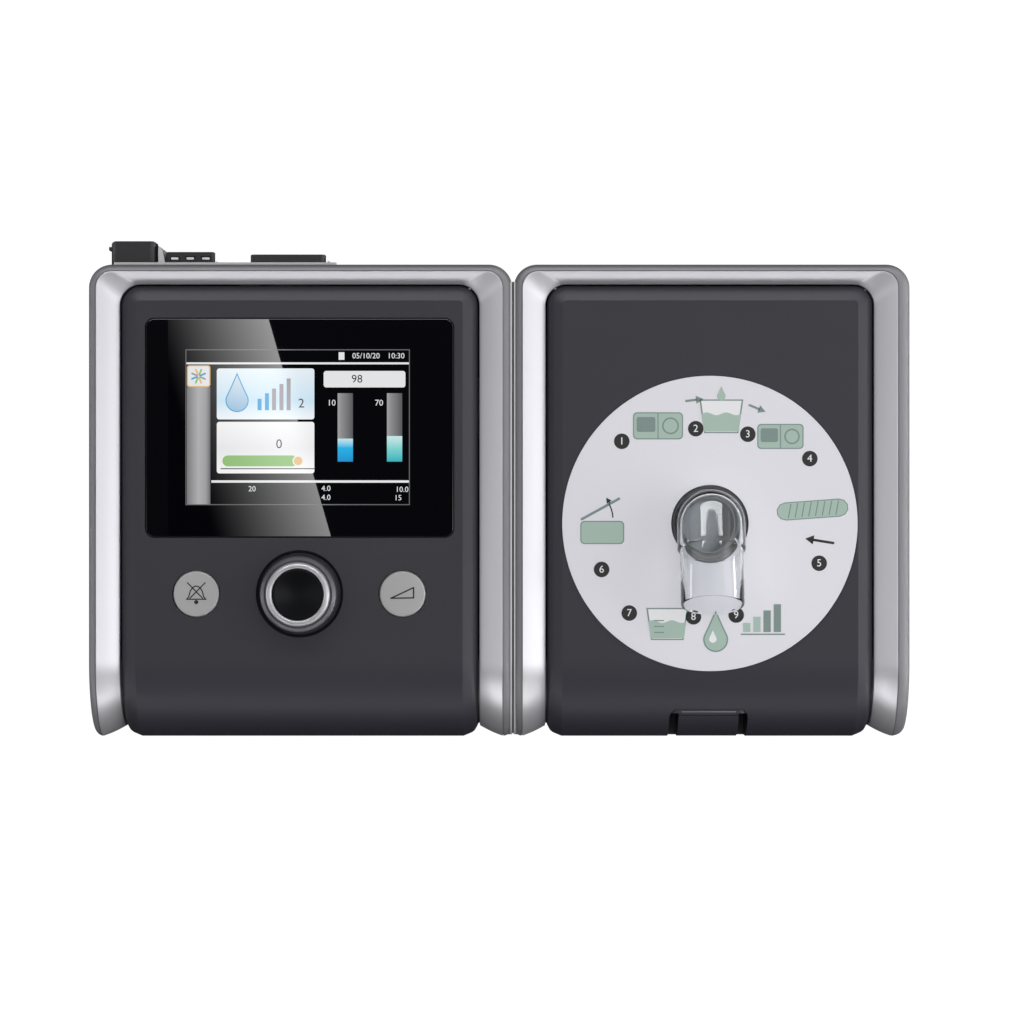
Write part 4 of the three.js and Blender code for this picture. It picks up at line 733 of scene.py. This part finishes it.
cut(well, latch_slab(0, FRONT - 1, FRONT + 13))
keep(well, panel_trim(WET, SHEET, -SHEET / 2))
join(lid_top, well, centred(10.65, FRONT + 22, FRONT + 24.2, 74, TOP - 2.7))
own(in_triangles(soften(lid_top)), "lid", "panel", "lid_panel")

GROOVE, EDGE_LINE = radians(44), radians(41)
latch_face = latch_slab(0, FRONT, FRONT + 10.5, 10.65, 70.3, 99.2, 2.2, "latch_face")
keep(latch_face, panel_trim(WET, 0, -0.05))
cut(latch_face, rod_x(0.6, LID_X - 11, LID_X + 11, *front_curve(GROOVE)))
join(latch_face, latch_slab(-0.4, FRONT + 9.2, FRONT + 11.3), centred(6, FRONT + 10.4, FRONT + 14.4, 70.3, 74),
     centred(6, FRONT + 12.6, FRONT + 14.4, 37.5, 74))
own(in_triangles(soften(latch_face, 0.3, segments=3)), "latch", "panel", "latch_button")
# A thin bar along the tab's top edge in the lighter housing grey: the bar stands for the edge's rounding, and its
# lighter colour is a painted highlight line.
edge_line = [(0, -10), (0.35, -10), (0.6, -9.5), (0.6, 9.5), (0.35, 10), (0, 10)]
highlight_bar = lathe("latch_painted_highlight", edge_line, SHELL, 32)
own(place(highlight_bar, LID_X, *front_curve(EDGE_LINE, -0.15), TURN_Y), "latch", "panel")


def coil_spring(name, radius, wire, turns, length, material):
    """A compression spring along Y from its fixed end, with closed end turns, as one closed tube."""
    mesh = Mesher()
    steps, sides, closed, loops = int(turns * 24), 10, 0.12, []
    for share in [i / steps for i in range(steps + 1)]:
        rise = min(max((share - closed) / (1 - 2 * closed), 0), 1) * (length - 4 * wire)
        rise += wire * (2 + min(share / closed, 1) - min((1 - share) / closed, 1))
        loops.append([])
        for k in range(sides):
            out, up = around(wire / 2, 2 * pi * k / sides)
            x, z = around(radius + out, 2 * pi * turns * share)
            loops[-1].append((x, up - rise, z))
    mesh.tube(loops)
    return as_object(name, mesh.bm, material, 60)


low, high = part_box("latch_spring")
coil_at = ((low.x + high.x) * 500, high.y * 1000, (low.z + high.z) * 500)
coil = coil_spring("latch_coil", 3.4, 0.75, 5, (high.y - low.y) * 1000 - 0.1, STEEL)
place(coil, *coil_at)
own(coil, "lid", "steel", "latch_spring")
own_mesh(coil)

cover = panel_shell(WET, "front_lower_cover")
cut(cover, block((0, FRONT - 5, LID_BOTTOM - GAP), (150, REAR + 5, TOP + 5)),
    block((0, FRONT + RADIUS, -1), (150, REAR + 5, TOP)))
join(cover, centred(6, FRONT + SHEET - FIT, FRONT + 10, 39.5, LID_BOTTOM - GAP))
own(soften(cover), "machine", "panel", "front_cover")

disc_line = [(HOLE_R, TOP - 0.6), (LABEL_R, TOP - 0.6), (LABEL_R, TOP - 0.12), (LABEL_R - 0.12, TOP), (HOLE_R, TOP)]
turned("label_sheet", disc_line, LABEL, (LID_X, ELBOW_Y), ("lid", "label", "label_disc"), 192)
collar_line = [(12.25, -7), (13.35, -7), (13.35, -0.6), (13.2, -0.45), (12.45, -0.45), (12.25, -0.65)]
turned("outlet_collar", collar_line, COLLAR, (LID_X, ELBOW_Y, TOP), ("lid", "black", "elbow_socket"))

# The elbow: two straight tubes that meet in a rounded mitre; a higher MITRE is sharper
BEND_R, BEND, MITRE = 12.2, radians(70), 16
BEND_LENGTH = BEND * BEND_R
BEND_START = 7.95 - BEND_R * tan(BEND / 2)
TUBE_END = BEND_LENGTH + 28.3 / cos(pi / 2 - BEND) - BEND_R * tan(BEND / 2)


def sweep(name, sections):
    """A closed round bar along the elbow's path, from pairs of distance along it and radius."""
    mesh = Mesher()
    loops = []
    for along, radius in sections:
        turn = BEND * min(max(along / BEND_LENGTH, 0), 1)
        reach = (cos(turn) ** MITRE + cos(BEND - turn) ** MITRE) ** (-1 / MITRE)
        extra = along if along < 0 else max(along - BEND_LENGTH, 0)
        loops.append([])
        for i in range(96):
            x, y = around(radius, 2 * pi * i / 96)
            out = (BEND_R + y) * reach
            loops[-1].append((x, out * cos(turn) - BEND_R - extra * sin(turn),
                              BEND_START + out * sin(turn) + extra * cos(turn)))
    mesh.tube(loops)
    return as_object(name, mesh.bm, CLEAR, 40)


foot = -7 - BEND_START
bend_steps = [BEND_LENGTH * i / 28 for i in range(29)]
outer = [(foot, 12), (-1.5, 12)] + [(d, 12) for d in bend_steps]
outer += [(BEND_LENGTH + d, r) for d, r in ((0.9, 12), (1.25, 11.85), (1.45, 11.5), (1.55, 11.1))]
outer += [(TUBE_END - 0.5, 11.1), (TUBE_END - 0.1, 10.95), (TUBE_END, 10.6)]
inner = [(foot - 1, 10.6), (-1.5, 10.6)] + [(d, 10.6 - 0.5 * d / BEND_LENGTH) for d in bend_steps]
inner += [(BEND_LENGTH + 2, 10.1), (TUBE_END - 0.4, 10.1), (TUBE_END + 1, 10.7)]
elbow = sweep("clear_elbow", outer)
cut(elbow, sweep("inside", inner))
own(place(elbow, LID_X, ELBOW_Y, TOP), "elbow", "clear", "outlet_elbow")

foot_line = [(0, 0), (6, 0), (6.6, 0.25), (7, 0.9), (7, 3.7), (0, 3.7)]
for unit in ("main", "humidifier"):
    for i in range(1, 5):
        node = "%s_foot_%d" % (unit, i)
        low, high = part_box(node)
        turned("%s_rubber_foot_%d" % (unit, i), foot_line, RUBBER, ((low.x + high.x) * 500, (low.y + high.y) * 500),
               ("machine", "rubber", node), 48)


# ---- flat prints
class Print:
    """Thin closed plates on a flat face, gathered into one piece; level stacks them."""

    STEP, THICK = 0.015, 0.03

    def __init__(self, name, base, materials):
        self.name, self.base = name, base
        self.materials = materials
        self.mesh = bmesh.new()

    def plate(self, outline, ink, level=0):
        low = self.base + self.STEP * level
        top = [self.mesh.verts.new((x, y, low + self.THICK)) for x, y in outline]
        under = [self.mesh.verts.new((x, y, low)) for x, y in outline]
        self.mesh.faces.new(top).material_index = ink
        self.mesh.faces.new(under[::-1]).material_index = ink
        for i in range(len(outline)):
            j = (i + 1) % len(outline)
            self.mesh.faces.new((under[i], under[j], top[j], top[i])).material_index = ink

    def hoop(self, x, y, outer, inner, ink, level=0, start=0, end=360):
        steps = max(6, int(64 * abs(end - start) / 360))
        for i in range(steps):
            a = start + (end - start) * i / steps
            b = start + (end - start) * (i + 1) / steps
            self.plate(arc(x, y, outer, a, b, 1) + arc(x, y, inner, b, a, 1), ink, level)

    def disc(self, x, y, radius, ink, level=0):
        self.plate(arc(x, y, radius, 0, 351, 39), ink, level)

    def line(self, points, width, ink, level=0, closed=False):
        """Straight strokes with round joints along the points."""
        for (x0, y0), (x1, y1) in zip(points, points[1:] + (points[:1] if closed else [])):
            a = degrees(atan2(y1 - y0, x1 - x0))
            self.plate(arc(x1, y1, width / 2, a - 90, a + 90, 5) + arc(x0, y0, width / 2, a + 90, a + 270, 5),
                       ink, level)

    def arrow(self, x0, y0, x1, y1, width, head, ink, level=0):
        a = atan2(y1 - y0, x1 - x0)
        x, y = x1 - head * cos(a), y1 - head * sin(a)
        self.line([(x0, y0), (x, y)], width, ink, level)
        wing_x, wing_y = head * 0.55 * sin(a), -head * 0.55 * cos(a)
        self.plate([(x1, y1), (x - wing_x, y - wing_y), (x + wing_x, y + wing_y)], ink, level)

    def drop(self, x, y, r, ink, level, tip=2.4, steps=20):
        """A round drop with its tip up; tip is its height over the middle in radii."""
        side = [(r * 0.62, r), (r * 0.2, r * 1.95)]
        self.plate(arc(x, y, r, 160, 380, steps) + [(x + dx, y + dy) for dx, dy in side] + [(x, y + r * tip)]
                   + [(x - dx, y + dy) for dx, dy in reversed(side)], ink, level)

    def digits(self, text, x, y, size, ink, level=0):
        curve = bpy.data.curves.new("digits", "FONT")
        curve.body, curve.size = text, size
        curve.align_x, curve.align_y = "CENTER", "CENTER"
        curve.resolution_u, curve.extrude = 3, self.THICK / 2
        holder = linked("digits", curve)
        mesh = evaluated(holder)
        mesh.transform(Matrix.Translation((x, y, self.base + self.STEP * level + self.THICK / 2)))
        before = len(self.mesh.faces)
        self.mesh.from_mesh(mesh)
        self.mesh.faces.ensure_lookup_table()
        for face in self.mesh.faces[before:]:
            face.material_index = ink
        bpy.data.objects.remove(holder)
        bpy.data.curves.remove(curve)
        bpy.data.meshes.remove(mesh)

    def done(self, body, slot):
        own(as_object(self.name, self.mesh, self.materials), body, slot)


def px_round(x0, y0, x1, y1, radius):
    """A rounded rectangle between two pixels of the photograph; a radius of 0 leaves it sharp."""
    (a, b), (c, d) = photo(x0, y0), photo(x1, y1)
    if not radius:
        return [(a, d), (c, d), (c, b), (a, b)]
    return rounded(c - a, b - d, radius * PHOTO_MM, (a + c) / 2, (b + d) / 2, 5)


def across(name, stops, x0, x1):
    return lit(name, stops, photo(x0, 0)[0], photo(x1, 0)[0])


def upward(name, stops, y0, y1):
    return lit(name, stops, photo(0, y0)[1], photo(0, y1)[1], "Y", 0.9)


GAUGE = [(0, 172, 172, 174), (0.25, 150, 150, 152), (1, 92, 92, 96)]
screen = Print("screen_picture", GLASS_TOP, [
    lit("lit_white", (244, 245, 246)),
    lit("lit_outline", (112, 112, 116)),
    lit("lit_dark", (46, 46, 50)),
    lit("lit_blue", (66, 170, 222)),
    lit("lit_bar_grey", (168, 162, 168)),
    lit("lit_green", (150, 200, 122)),
    lit("lit_orange", (238, 196, 130)),
    across("lit_sidebar", [(0, 128, 128, 130), (0.5, 186, 186, 188), (0.8, 168, 168, 170), (1, 104, 104, 108)],
           186.5, 210.5),
    upward("lit_card", [(0, 244, 249, 253), (0.35, 206, 232, 248), (1, 236, 245, 250)], 419, 368),
    upward("lit_card_pale", [(0, 250, 250, 250), (0.5, 236, 236, 238), (1, 248, 248, 249)], 474, 422),
    upward("lit_drop", [(0, 150, 190, 222), (0.45, 186, 212, 232), (1, 222, 230, 236)], 412, 374),
    across("lit_gauge_a", GAUGE, 337.5, 353),
    across("lit_gauge_b", GAUGE, 387, 402.3),
    upward("lit_fill_a", [(0, 28, 150, 214), (0.6, 40, 184, 240), (0.95, 196, 236, 244)], 461.5, 438.5),
    upward("lit_fill_b", [(0, 54, 186, 196), (0.5, 132, 218, 214), (0.95, 206, 240, 240)], 461.5, 436)])
(WHITE, OUTLINE, DARK, BLUE, BAR, GREEN, ORANGE, SIDE, CARD_BLUE, CARD_PALE, DROP, GAUGE_1, GAUGE_2, FILL_1,
 FILL_2) = range(15)

# Plates by their first and second corner in pixels, corner radius, ink and level
PLATES = [
    (185.4, 349.3, 409.8, 350.2, 0, OUTLINE, 0), (185.4, 504.2, 409.8, 505.1, 0, OUTLINE, 0),
    (185.4, 350.2, 186.3, 504.2, 0, OUTLINE, 0), (408.9, 350.2, 409.8, 504.2, 0, OUTLINE, 0),
    (186.4, 362.3, 408.9, 364.3, 0, WHITE, 0), (211.3, 480.3, 408.9, 482.7, 0, WHITE, 0),
    (186.8, 387, 210.3, 504.2, 0, SIDE, 0), (186.8, 365.2, 210.3, 387, 2.5, ORANGE, 0),
    (188, 366.3, 209.1, 385.9, 2, WHITE, 1), (338.6, 352.2, 344.4, 359.8, 0, WHITE, 0),
    (216.7, 368.4, 314.3, 419.4, 2.6, CARD_BLUE, 0), (216.7, 421.8, 314.3, 473.4, 2.6, CARD_PALE, 0),
    (257.5, 398.7, 261.5, 410.2, 0, BLUE, 1), (264.9, 393.2, 268.9, 410.2, 0, BLUE, 1),
    (272, 388.5, 276, 410.2, 0, BAR, 1), (279.4, 384, 283.4, 410.2, 0, BAR, 1),
    (286.6, 378.4, 290.6, 410.2, 0, BAR, 1), (222.3, 455.4, 297.5, 466.4, 5.4, GREEN, 1),
    (220.5, 468.2, 314.3, 469.2, 0, DARK, 1), (323.6, 370.9, 405.4, 387.4, 2.6, WHITE, 0),
    (337.6, 393.2, 352.9, 438.6, 0, GAUGE_1, 0), (337.6, 438.6, 352.9, 461.6, 0, FILL_1, 0),
    (386.9, 393.2, 402.2, 436, 0, GAUGE_2, 0), (386.9, 436, 402.2, 461.6, 0, FILL_2, 0)]
for x0, y0, x1, y1, radius, ink, level in PLATES:
    screen.plate(px_round(x0, y0, x1, y1, radius), ink, level)
for text, x, y, size, ink, level in (
        ("05/10/20", 366, 356, 2.75, WHITE, 0), ("10:30", 396, 356, 2.75, WHITE, 0),
        ("2", 301.3, 403.6, 4.6, DARK, 1), ("0", 279, 444.3, 4.6, DARK, 1), ("98", 357, 379.2, 4, DARK, 1),
        ("10", 331.5, 403, 3, WHITE, 0), ("70", 379, 403, 3, WHITE, 0), ("4.0", 326, 488.6, 2.7, WHITE, 0),
        ("4.0", 326, 497.6, 2.7, WHITE, 0), ("10.0", 402, 489.6, 2.7, WHITE, 0), ("15", 398, 498, 2.7, WHITE, 0),
        ("20", 252, 489, 2.7, WHITE, 0)):
    screen.digits(text, *photo(x, y), size, ink, level)
star_x, star_y = photo(198.5, 376.2)
for i in range(8):
    a = radians(45 * i + 22)
    screen.line([(star_x + r * cos(a), star_y + r * sin(a)) for r in (0.6, 2.5)], 0.62,
                (BLUE, GREEN, ORANGE, BAR)[i % 4], 2)
screen.drop(*photo(237, 400.5), 4.1, BLUE, 1, 2.42, 26)
screen.drop(*photo(237, 400.5), 3.7, DROP, 2, 2.42, 26)
screen.disc(*photo(298, 460.9), 1.95, WHITE, 2)
screen.disc(*photo(298, 460.9), 1.5, ORANGE, 3)
screen.done("machine", "screen")

mark_z = TOP + 0.85
mute_mark, ramp_mark = Print("mute_mark", mark_z, [INK]), Print("ramp_mark", mark_z, [INK])
bx = MAIN_X - BUTTON_X
bell = [(-3.4, -1.9), (-2.7, -1.2), (-2.1, 1), (-1.3, 2.2), (-0.45, 2.7)]
bell += [(-x, y) for x, y in reversed(bell)]
mute_mark.line([(bx + x, CONTROLS_Y + y) for x, y in bell], 0.42, 0, closed=True)
mute_mark.disc(bx, CONTROLS_Y - 2.9, 0.75, 0)
for level, side in ((1, -1), (2, 1)):
    mute_mark.line([(bx + side * 3.1, CONTROLS_Y + 3.9), (bx - side * 2.2, CONTROLS_Y - 1.5)], 0.42, 0, level)
bx = MAIN_X + BUTTON_X
ramp_mark.line([(bx - 4.1, CONTROLS_Y - 1.55), (bx + 3.9, CONTROLS_Y + 2.2), (bx + 3.9, CONTROLS_Y - 1.4)], 0.5, 0,
               closed=True)
mute_mark.done("mute_key", "black")
ramp_mark.done("ramp_key", "black")

# ---- round label
label = Print("label_print", TOP, [INK, INK_GREEN, INK_DARK, INK_WHITE])
BK, PALE, DEEP, WH = range(4)


def at(angle, radius):
    """A place on the label by its angle and its distance from the elbow's axis."""
    a = radians(angle)
    return (LID_X + radius * cos(a), ELBOW_Y + radius * sin(a))


def framed(x, y, width, height, outer, inner):
    """A pale round-cornered plate with a dark rim."""
    label.plate(rounded(width, height, outer, x, y, 5), DEEP, 1)
    label.plate(rounded(width - 0.8, height - 0.8, inner, x, y, 5), PALE, 2)


def machine_mark(x, y, size):
    """Front view of a two-part machine."""
    w, h = 9.6 * size, 5.2 * size
    framed(x, y, w * 2, h * 2, 1.6 * size, 1.3 * size)
    label.plate(rounded(w * 0.75, h * 1.1, 0.8 * size, x - w * 0.48, y + h * 0.1, 4), DEEP, 3)
    label.line([(x, y - h + 0.4), (x, y + h - 0.4)], 0.4, DEEP, 3)
    label.hoop(x + w * 0.5, y, h * 0.62, h * 0.62 - 0.55, DEEP, 3)


def tub_mark(x, y, size):
    """A tub with water in it."""
    w, h = 8.6 * size, 6.6 * size
    for top, foot, inset, ink, level in ((w, w * 0.78, 0, DEEP, 1), (w - 0.6, w * 0.78 - 0.45, 0.45, WH, 2)):
        label.plate([(x - top, y + h - inset), (x - foot, y - h + inset), (x + foot, y - h + inset),
                     (x + top, y + h - inset)], ink, level)
    wave = [(x - w * 0.9 + 2 * w * 0.9 * i / 16, y + h * 0.15 + 0.5 * sin(i / 16 * 4 * pi)) for i in range(17)]
    label.plate([(x - w * 0.8, y - h + 0.6), (x + w * 0.8, y - h + 0.6)] + wave[::-1], PALE, 3)


# Upper arc: filling steps
machine_mark(*at(118, 39), 0.92)
label.arrow(*at(101, 44), *at(93, 44), 0.8, 2.6, DEEP, 1)
x, y = at(84, 38.5)
tub_mark(x, y - 0.5, 0.9)
label.drop(x, y + 6.6, 1.5, PALE, 3)
label.arrow(*at(71.5, 44), *at(63.5, 44), 0.8, 2.6, DEEP, 1)
machine_mark(*at(51, 39.5), 0.85)

# Right: hose goes on
for level, (width, ink) in enumerate(((6.4, DEEP), (5.7, PALE)), 1):
    label.line([at(9, 27), at(7, 46)], width, ink, level)
for i in range(8):
    x, y = at(9 - i * 0.25, 28 + i * 2.4)
    label.line([(x, y - 2.4), (x + 0.9, y + 2.4)], 0.4, DEEP, 3)
label.arrow(*at(-9, 44), *at(-9, 34), 0.9, 3, BK, 1)

# Left: lid opens
x, y = at(178, 38)
framed(x, y - 4.5, 15.5, 8.2, 1.5, 1.2)
label.line([(x - 7.2, y + 0.2), (x + 5.9, y + 7.4)], 0.9, DEEP, 2)
label.hoop(x - 7.2, y + 0.2, 11.2, 10.75, BK, 2, 3, 30)
label.arrow(x + 2.6, y + 6, x + 1.4, y + 7.8, 0.45, 1.9, BK, 3)

# Lower arc: water levels and rinsing
x, y = at(247, 38.5)
tub_mark(x, y, 0.86)
for i in range(3):
    label.line([(x - 4.5, y + 1.2 - i * 2.1), (x - 1.3, y + 1.2 - i * 2.1)], 0.4, DEEP, 4)
x, y = at(273, 38.8)
label.drop(x, y - 2.2, 4.4, DEEP, 1)
label.drop(x, y - 2.2, 3.9, PALE, 2)
label.drop(x - 1, y - 2, 1.3, WH, 3)
x, y = at(299, 38.5)
for i, (tall, ink) in enumerate(((3.2, PALE), (5.4, PALE), (7.6, DEEP), (9.8, DEEP))):
    left, foot = x - 7 + i * 3.6, y - 4.6
    label.plate([(left, foot), (left + 2.6, foot), (left + 2.6, foot + tall), (left, foot + tall)], ink, 1)
label.line([(x - 7.6, y - 5.4), (x + 7.6, y - 5.4)], 0.5, DEEP, 1)

for text, angle, radius in (("1", 137, 42.5), ("2", 98.5, 33.8), ("3", 67, 34.2), ("4", 33, 42), ("5", -20, 41),
                            ("6", 203, 41.5), ("7", 228, 42.5), ("8", 260, 33.4), ("9", 286, 33.6)):
    label.disc(*at(angle, radius), 2.75, BK, 1)
    label.digits(text, *at(angle, radius), 2.75 * 1.35, WH, 2)
label.done("lid", "label")


# ---- carried-over CAD nodes
for material, nodes in (
        (SHELL, "main_base humidifier_base"),
        (STEEL, "main_base_screw_1 main_base_screw_2 humidifier_base_screw_1 humidifier_base_screw_2"),
        (STEEL, "encoder_body encoder_plunger blower_motor motor_shaft heater_block hinge_pin_left hinge_pin_right"),
        (BLACK, "display_module mute_switch ramp_switch blower_impeller"),
        (BOARD, "main_board"),
        (SOFT, "blower_mount chamber_seal inlet_gasket outlet_seal"),
        (INNER, "blower_lower blower_upper outlet_spigot filter_box heater_tray"),
        (FOAM, "air_filter"),
        (ALUMINIUM, "heater_plate"),
        (CHAMBER, "chamber_tub chamber_lid")):
    for node in nodes.split():
        finishes = bpy.data.objects[node].data.materials
        finishes.clear()
        finishes.append(material)


# ---- studio
def sheet(name, paint_name, corners):
    """A four-sided sheet in metres, and the empty node tree of its paint."""
    mesh = bpy.data.meshes.new(name)
    mesh.from_pydata(corners, [], [(0, 1, 2, 3)])
    paint = bpy.data.materials.new(paint_name)
    paint.use_nodes = True
    paint.node_tree.nodes.clear()
    mesh.materials.append(paint)
    return linked(name, mesh), paint.node_tree


def mixed(tree, factor, first, second):
    return first_of(tree, "MixShader", {0: factor, 1: first, 2: second})


def diffuse(tree, value):
    return first_of(tree, "BsdfDiffuse", {"Color": grey(value)})


def glow(tree, value, strength=1):
    return first_of(tree, "Emission", {"Color": grey(value), "Strength": strength})


def ray_kinds(tree):
    """The light path's outputs, and whether the ray shows the background to the camera."""
    rays = add_node(tree, "LightPath").outputs
    return rays, add_math(tree, "MAXIMUM", rays["Is Camera Ray"], rays["Is Transmission Ray"])


FLOOR_WHITE, FLOOR_LIT, FLOOR_LIT_SHARE, FLOOR_DIM, FLOOR_GLOSSY = 0.8, 1.12, 0.86, 0.1, 0.02
floor, tree = sheet("floor", "floor_paper", [(-4, -4, 0), (4, -4, 0), (4, 4, 0), (-4, 4, 0)])
rays, seen = ray_kinds(tree)
paper = mixed(tree, FLOOR_LIT_SHARE, diffuse(tree, FLOOR_WHITE), glow(tree, 1, FLOOR_LIT))
unseen = mixed(tree, rays["Is Glossy Ray"], diffuse(tree, FLOOR_DIM), glow(tree, FLOOR_GLOSSY))
add_node(tree, "OutputMaterial", {"Surface": mixed(tree, seen, unseen, paper)})

# The sky's grey by height, from straight down to straight up
SKY = [(0, 0.04), (0.47, 0.06), (0.52, 0.2), (0.62, 0.45), (0.72, 0.65), (0.85, 0.65), (0.92, 0.4), (1, 0.03)]
SKY_LEVEL, SKY_RIGHT, SKY_REAR = 0.81, 0.3, 0.38
world = bpy.data.worlds.new("studio")
bpy.context.scene.world = world
world.use_nodes = True
tree = world.node_tree
tree.nodes.clear()
seen = ray_kinds(tree)[1]
toward = add_node(tree, "SeparateXYZ", {"Vector": first_of(tree, "TexCoord", {})}).outputs
height = first_of(tree, "MapRange", {"Value": toward["Z"], "From Min": -1})
lean = add_math(tree, "ADD", add_math(tree, "MULTIPLY", toward["X"], SKY_RIGHT),
                add_math(tree, "MULTIPLY", toward["Y"], SKY_REAR))
tint = add_ramp(tree, height, [(at_z, grey(value)) for at_z, value in SKY])
sky = first_of(tree, "Background", {"Color": tint, "Strength": add_math(tree, "ADD", lean, SKY_LEVEL)})
white = first_of(tree, "Background", {"Color": grey(1)})
add_node(tree, "OutputWorld", {"Surface": mixed(tree, seen, sky, white)})


def area_light(name, at_mm, towards_mm, width, tall, radiance, lights=True, mirrors=True):
    """A rectangular lamp of a given radiance; it may light pieces, be mirrored in them, or both."""
    data = bpy.data.lights.new(name, "AREA")
    data.shape = "RECTANGLE"
    data.size, data.size_y = width * MM, tall * MM
    data.energy = radiance * pi * width * tall * MM * MM
    lamp = linked(name, data)
    lamp.location = Vector(at_mm) * MM
    lamp.rotation_euler = (Vector(towards_mm) - Vector(at_mm)).to_track_quat("-Z", "Y").to_euler()
    lamp.visible_camera = False
    lamp.visible_transmission = False
    lamp.visible_diffuse = lights
    lamp.visible_glossy = mirrors


area_light("overhead", (0, 100, 2300), (0, 0, 0), 2000, 1700, 1.66, mirrors=False)
area_light("front_low", (0, -1350, 560), (0, 0, 100), 2400, 280, 3.4, lights=False)
area_light("corner_right", (1000, -1150, 880), (100, -60, 90), 700, 560, 1.2, lights=False)
area_light("corner_left", (-1000, -1150, 880), (-100, -60, 90), 700, 560, 2.6, lights=False)
area_light("key_right", (1250, 150, 850), (60, 0, 80), 1200, 700, 1.4)
area_light("low_right", (1300, -250, 200), (100, 0, 90), 1300, 220, 12)
area_light("low_left", (-1350, -250, 200), (-100, 0, 90), 1300, 220, 6)
area_light("strip_right", (1020, -150, 1320), (20, -30, 100), 320, 2500, 3.1, lights=False)
area_light("strip_left", (-1100, -150, 1320), (-40, -30, 100), 320, 1900, 1.25, lights=False)
area_light("strip_rear", (0, 1250, 1380), (0, 60, 100), 2400, 260, 12.5, lights=False)

# A sharp-edged pale reflection in the screen: its edge's ends, and where it fades out, in pixels
CARD_Z = 2100
CAMERA_AT = (4.5, -8.95, 1405.5)
GLARE_TOP, GLARE_BOTTOM, GLARE_LEFT = (263, 300), (335, 551), 168
FADE_WIDTH, FADE_CURVE, GLARE_FRONT, GLARE_REAR = 0.105, 1.64, 6, 7.8


def mirrored(x, y):
    """Where the camera's ray by the flat glass at x, y meets the card's height after its reflection."""
    share = (CARD_Z - GLASS_TOP) / (CAMERA_AT[2] - GLASS_TOP)
    return (x + (x - CAMERA_AT[0]) * share, y + (y - CAMERA_AT[1]) * share, CARD_Z)


corners = [mirrored(*photo(*pixel)) for pixel in (
    GLARE_TOP, GLARE_BOTTOM, (GLARE_LEFT, GLARE_BOTTOM[1]), (GLARE_LEFT, GLARE_TOP[1]))]
card, tree = sheet("glare_card", "glare", [Vector(corner) * MM for corner in corners])
place_on = add_node(tree, "SeparateXYZ", {"Vector": add_node(tree, "TexCoord").outputs["Object"]}).outputs
slant = (corners[1][0] - corners[0][0]) / (corners[1][1] - corners[0][1])
edge_at = (corners[0][0] - slant * corners[0][1]) * MM
from_edge = add_math(tree, "SUBTRACT", place_on["X"], add_math(tree, "MULTIPLY", place_on["Y"], slant))
fade = first_of(tree, "MapRange", {"Value": from_edge, "From Min": edge_at - FADE_WIDTH, "From Max": edge_at})
strength = first_of(tree, "MapRange", {
    "Value": place_on["Y"], "From Min": corners[1][1] * MM, "From Max": corners[0][1] * MM,
    "To Min": GLARE_FRONT, "To Max": GLARE_REAR})
level = add_math(tree, "MULTIPLY", add_math(tree, "POWER", fade, FADE_CURVE), strength)
add_node(tree, "OutputMaterial", {"Surface": first_of(tree, "Emission", {"Strength": level})})
card.visible_camera = False
card.visible_diffuse = False
card.visible_transmission = False
card.visible_shadow = False

lens = bpy.data.cameras.new("plan_view")
lens.sensor_width = 36
lens.lens = 129.6
lens.clip_start, lens.clip_end = 0.05, 20
eye = linked("plan_view", lens)
eye.location = Vector(CAMERA_AT) * MM
bpy.context.scene.camera = eye
bpy.context.scene.view_settings.view_transform = "Standard"
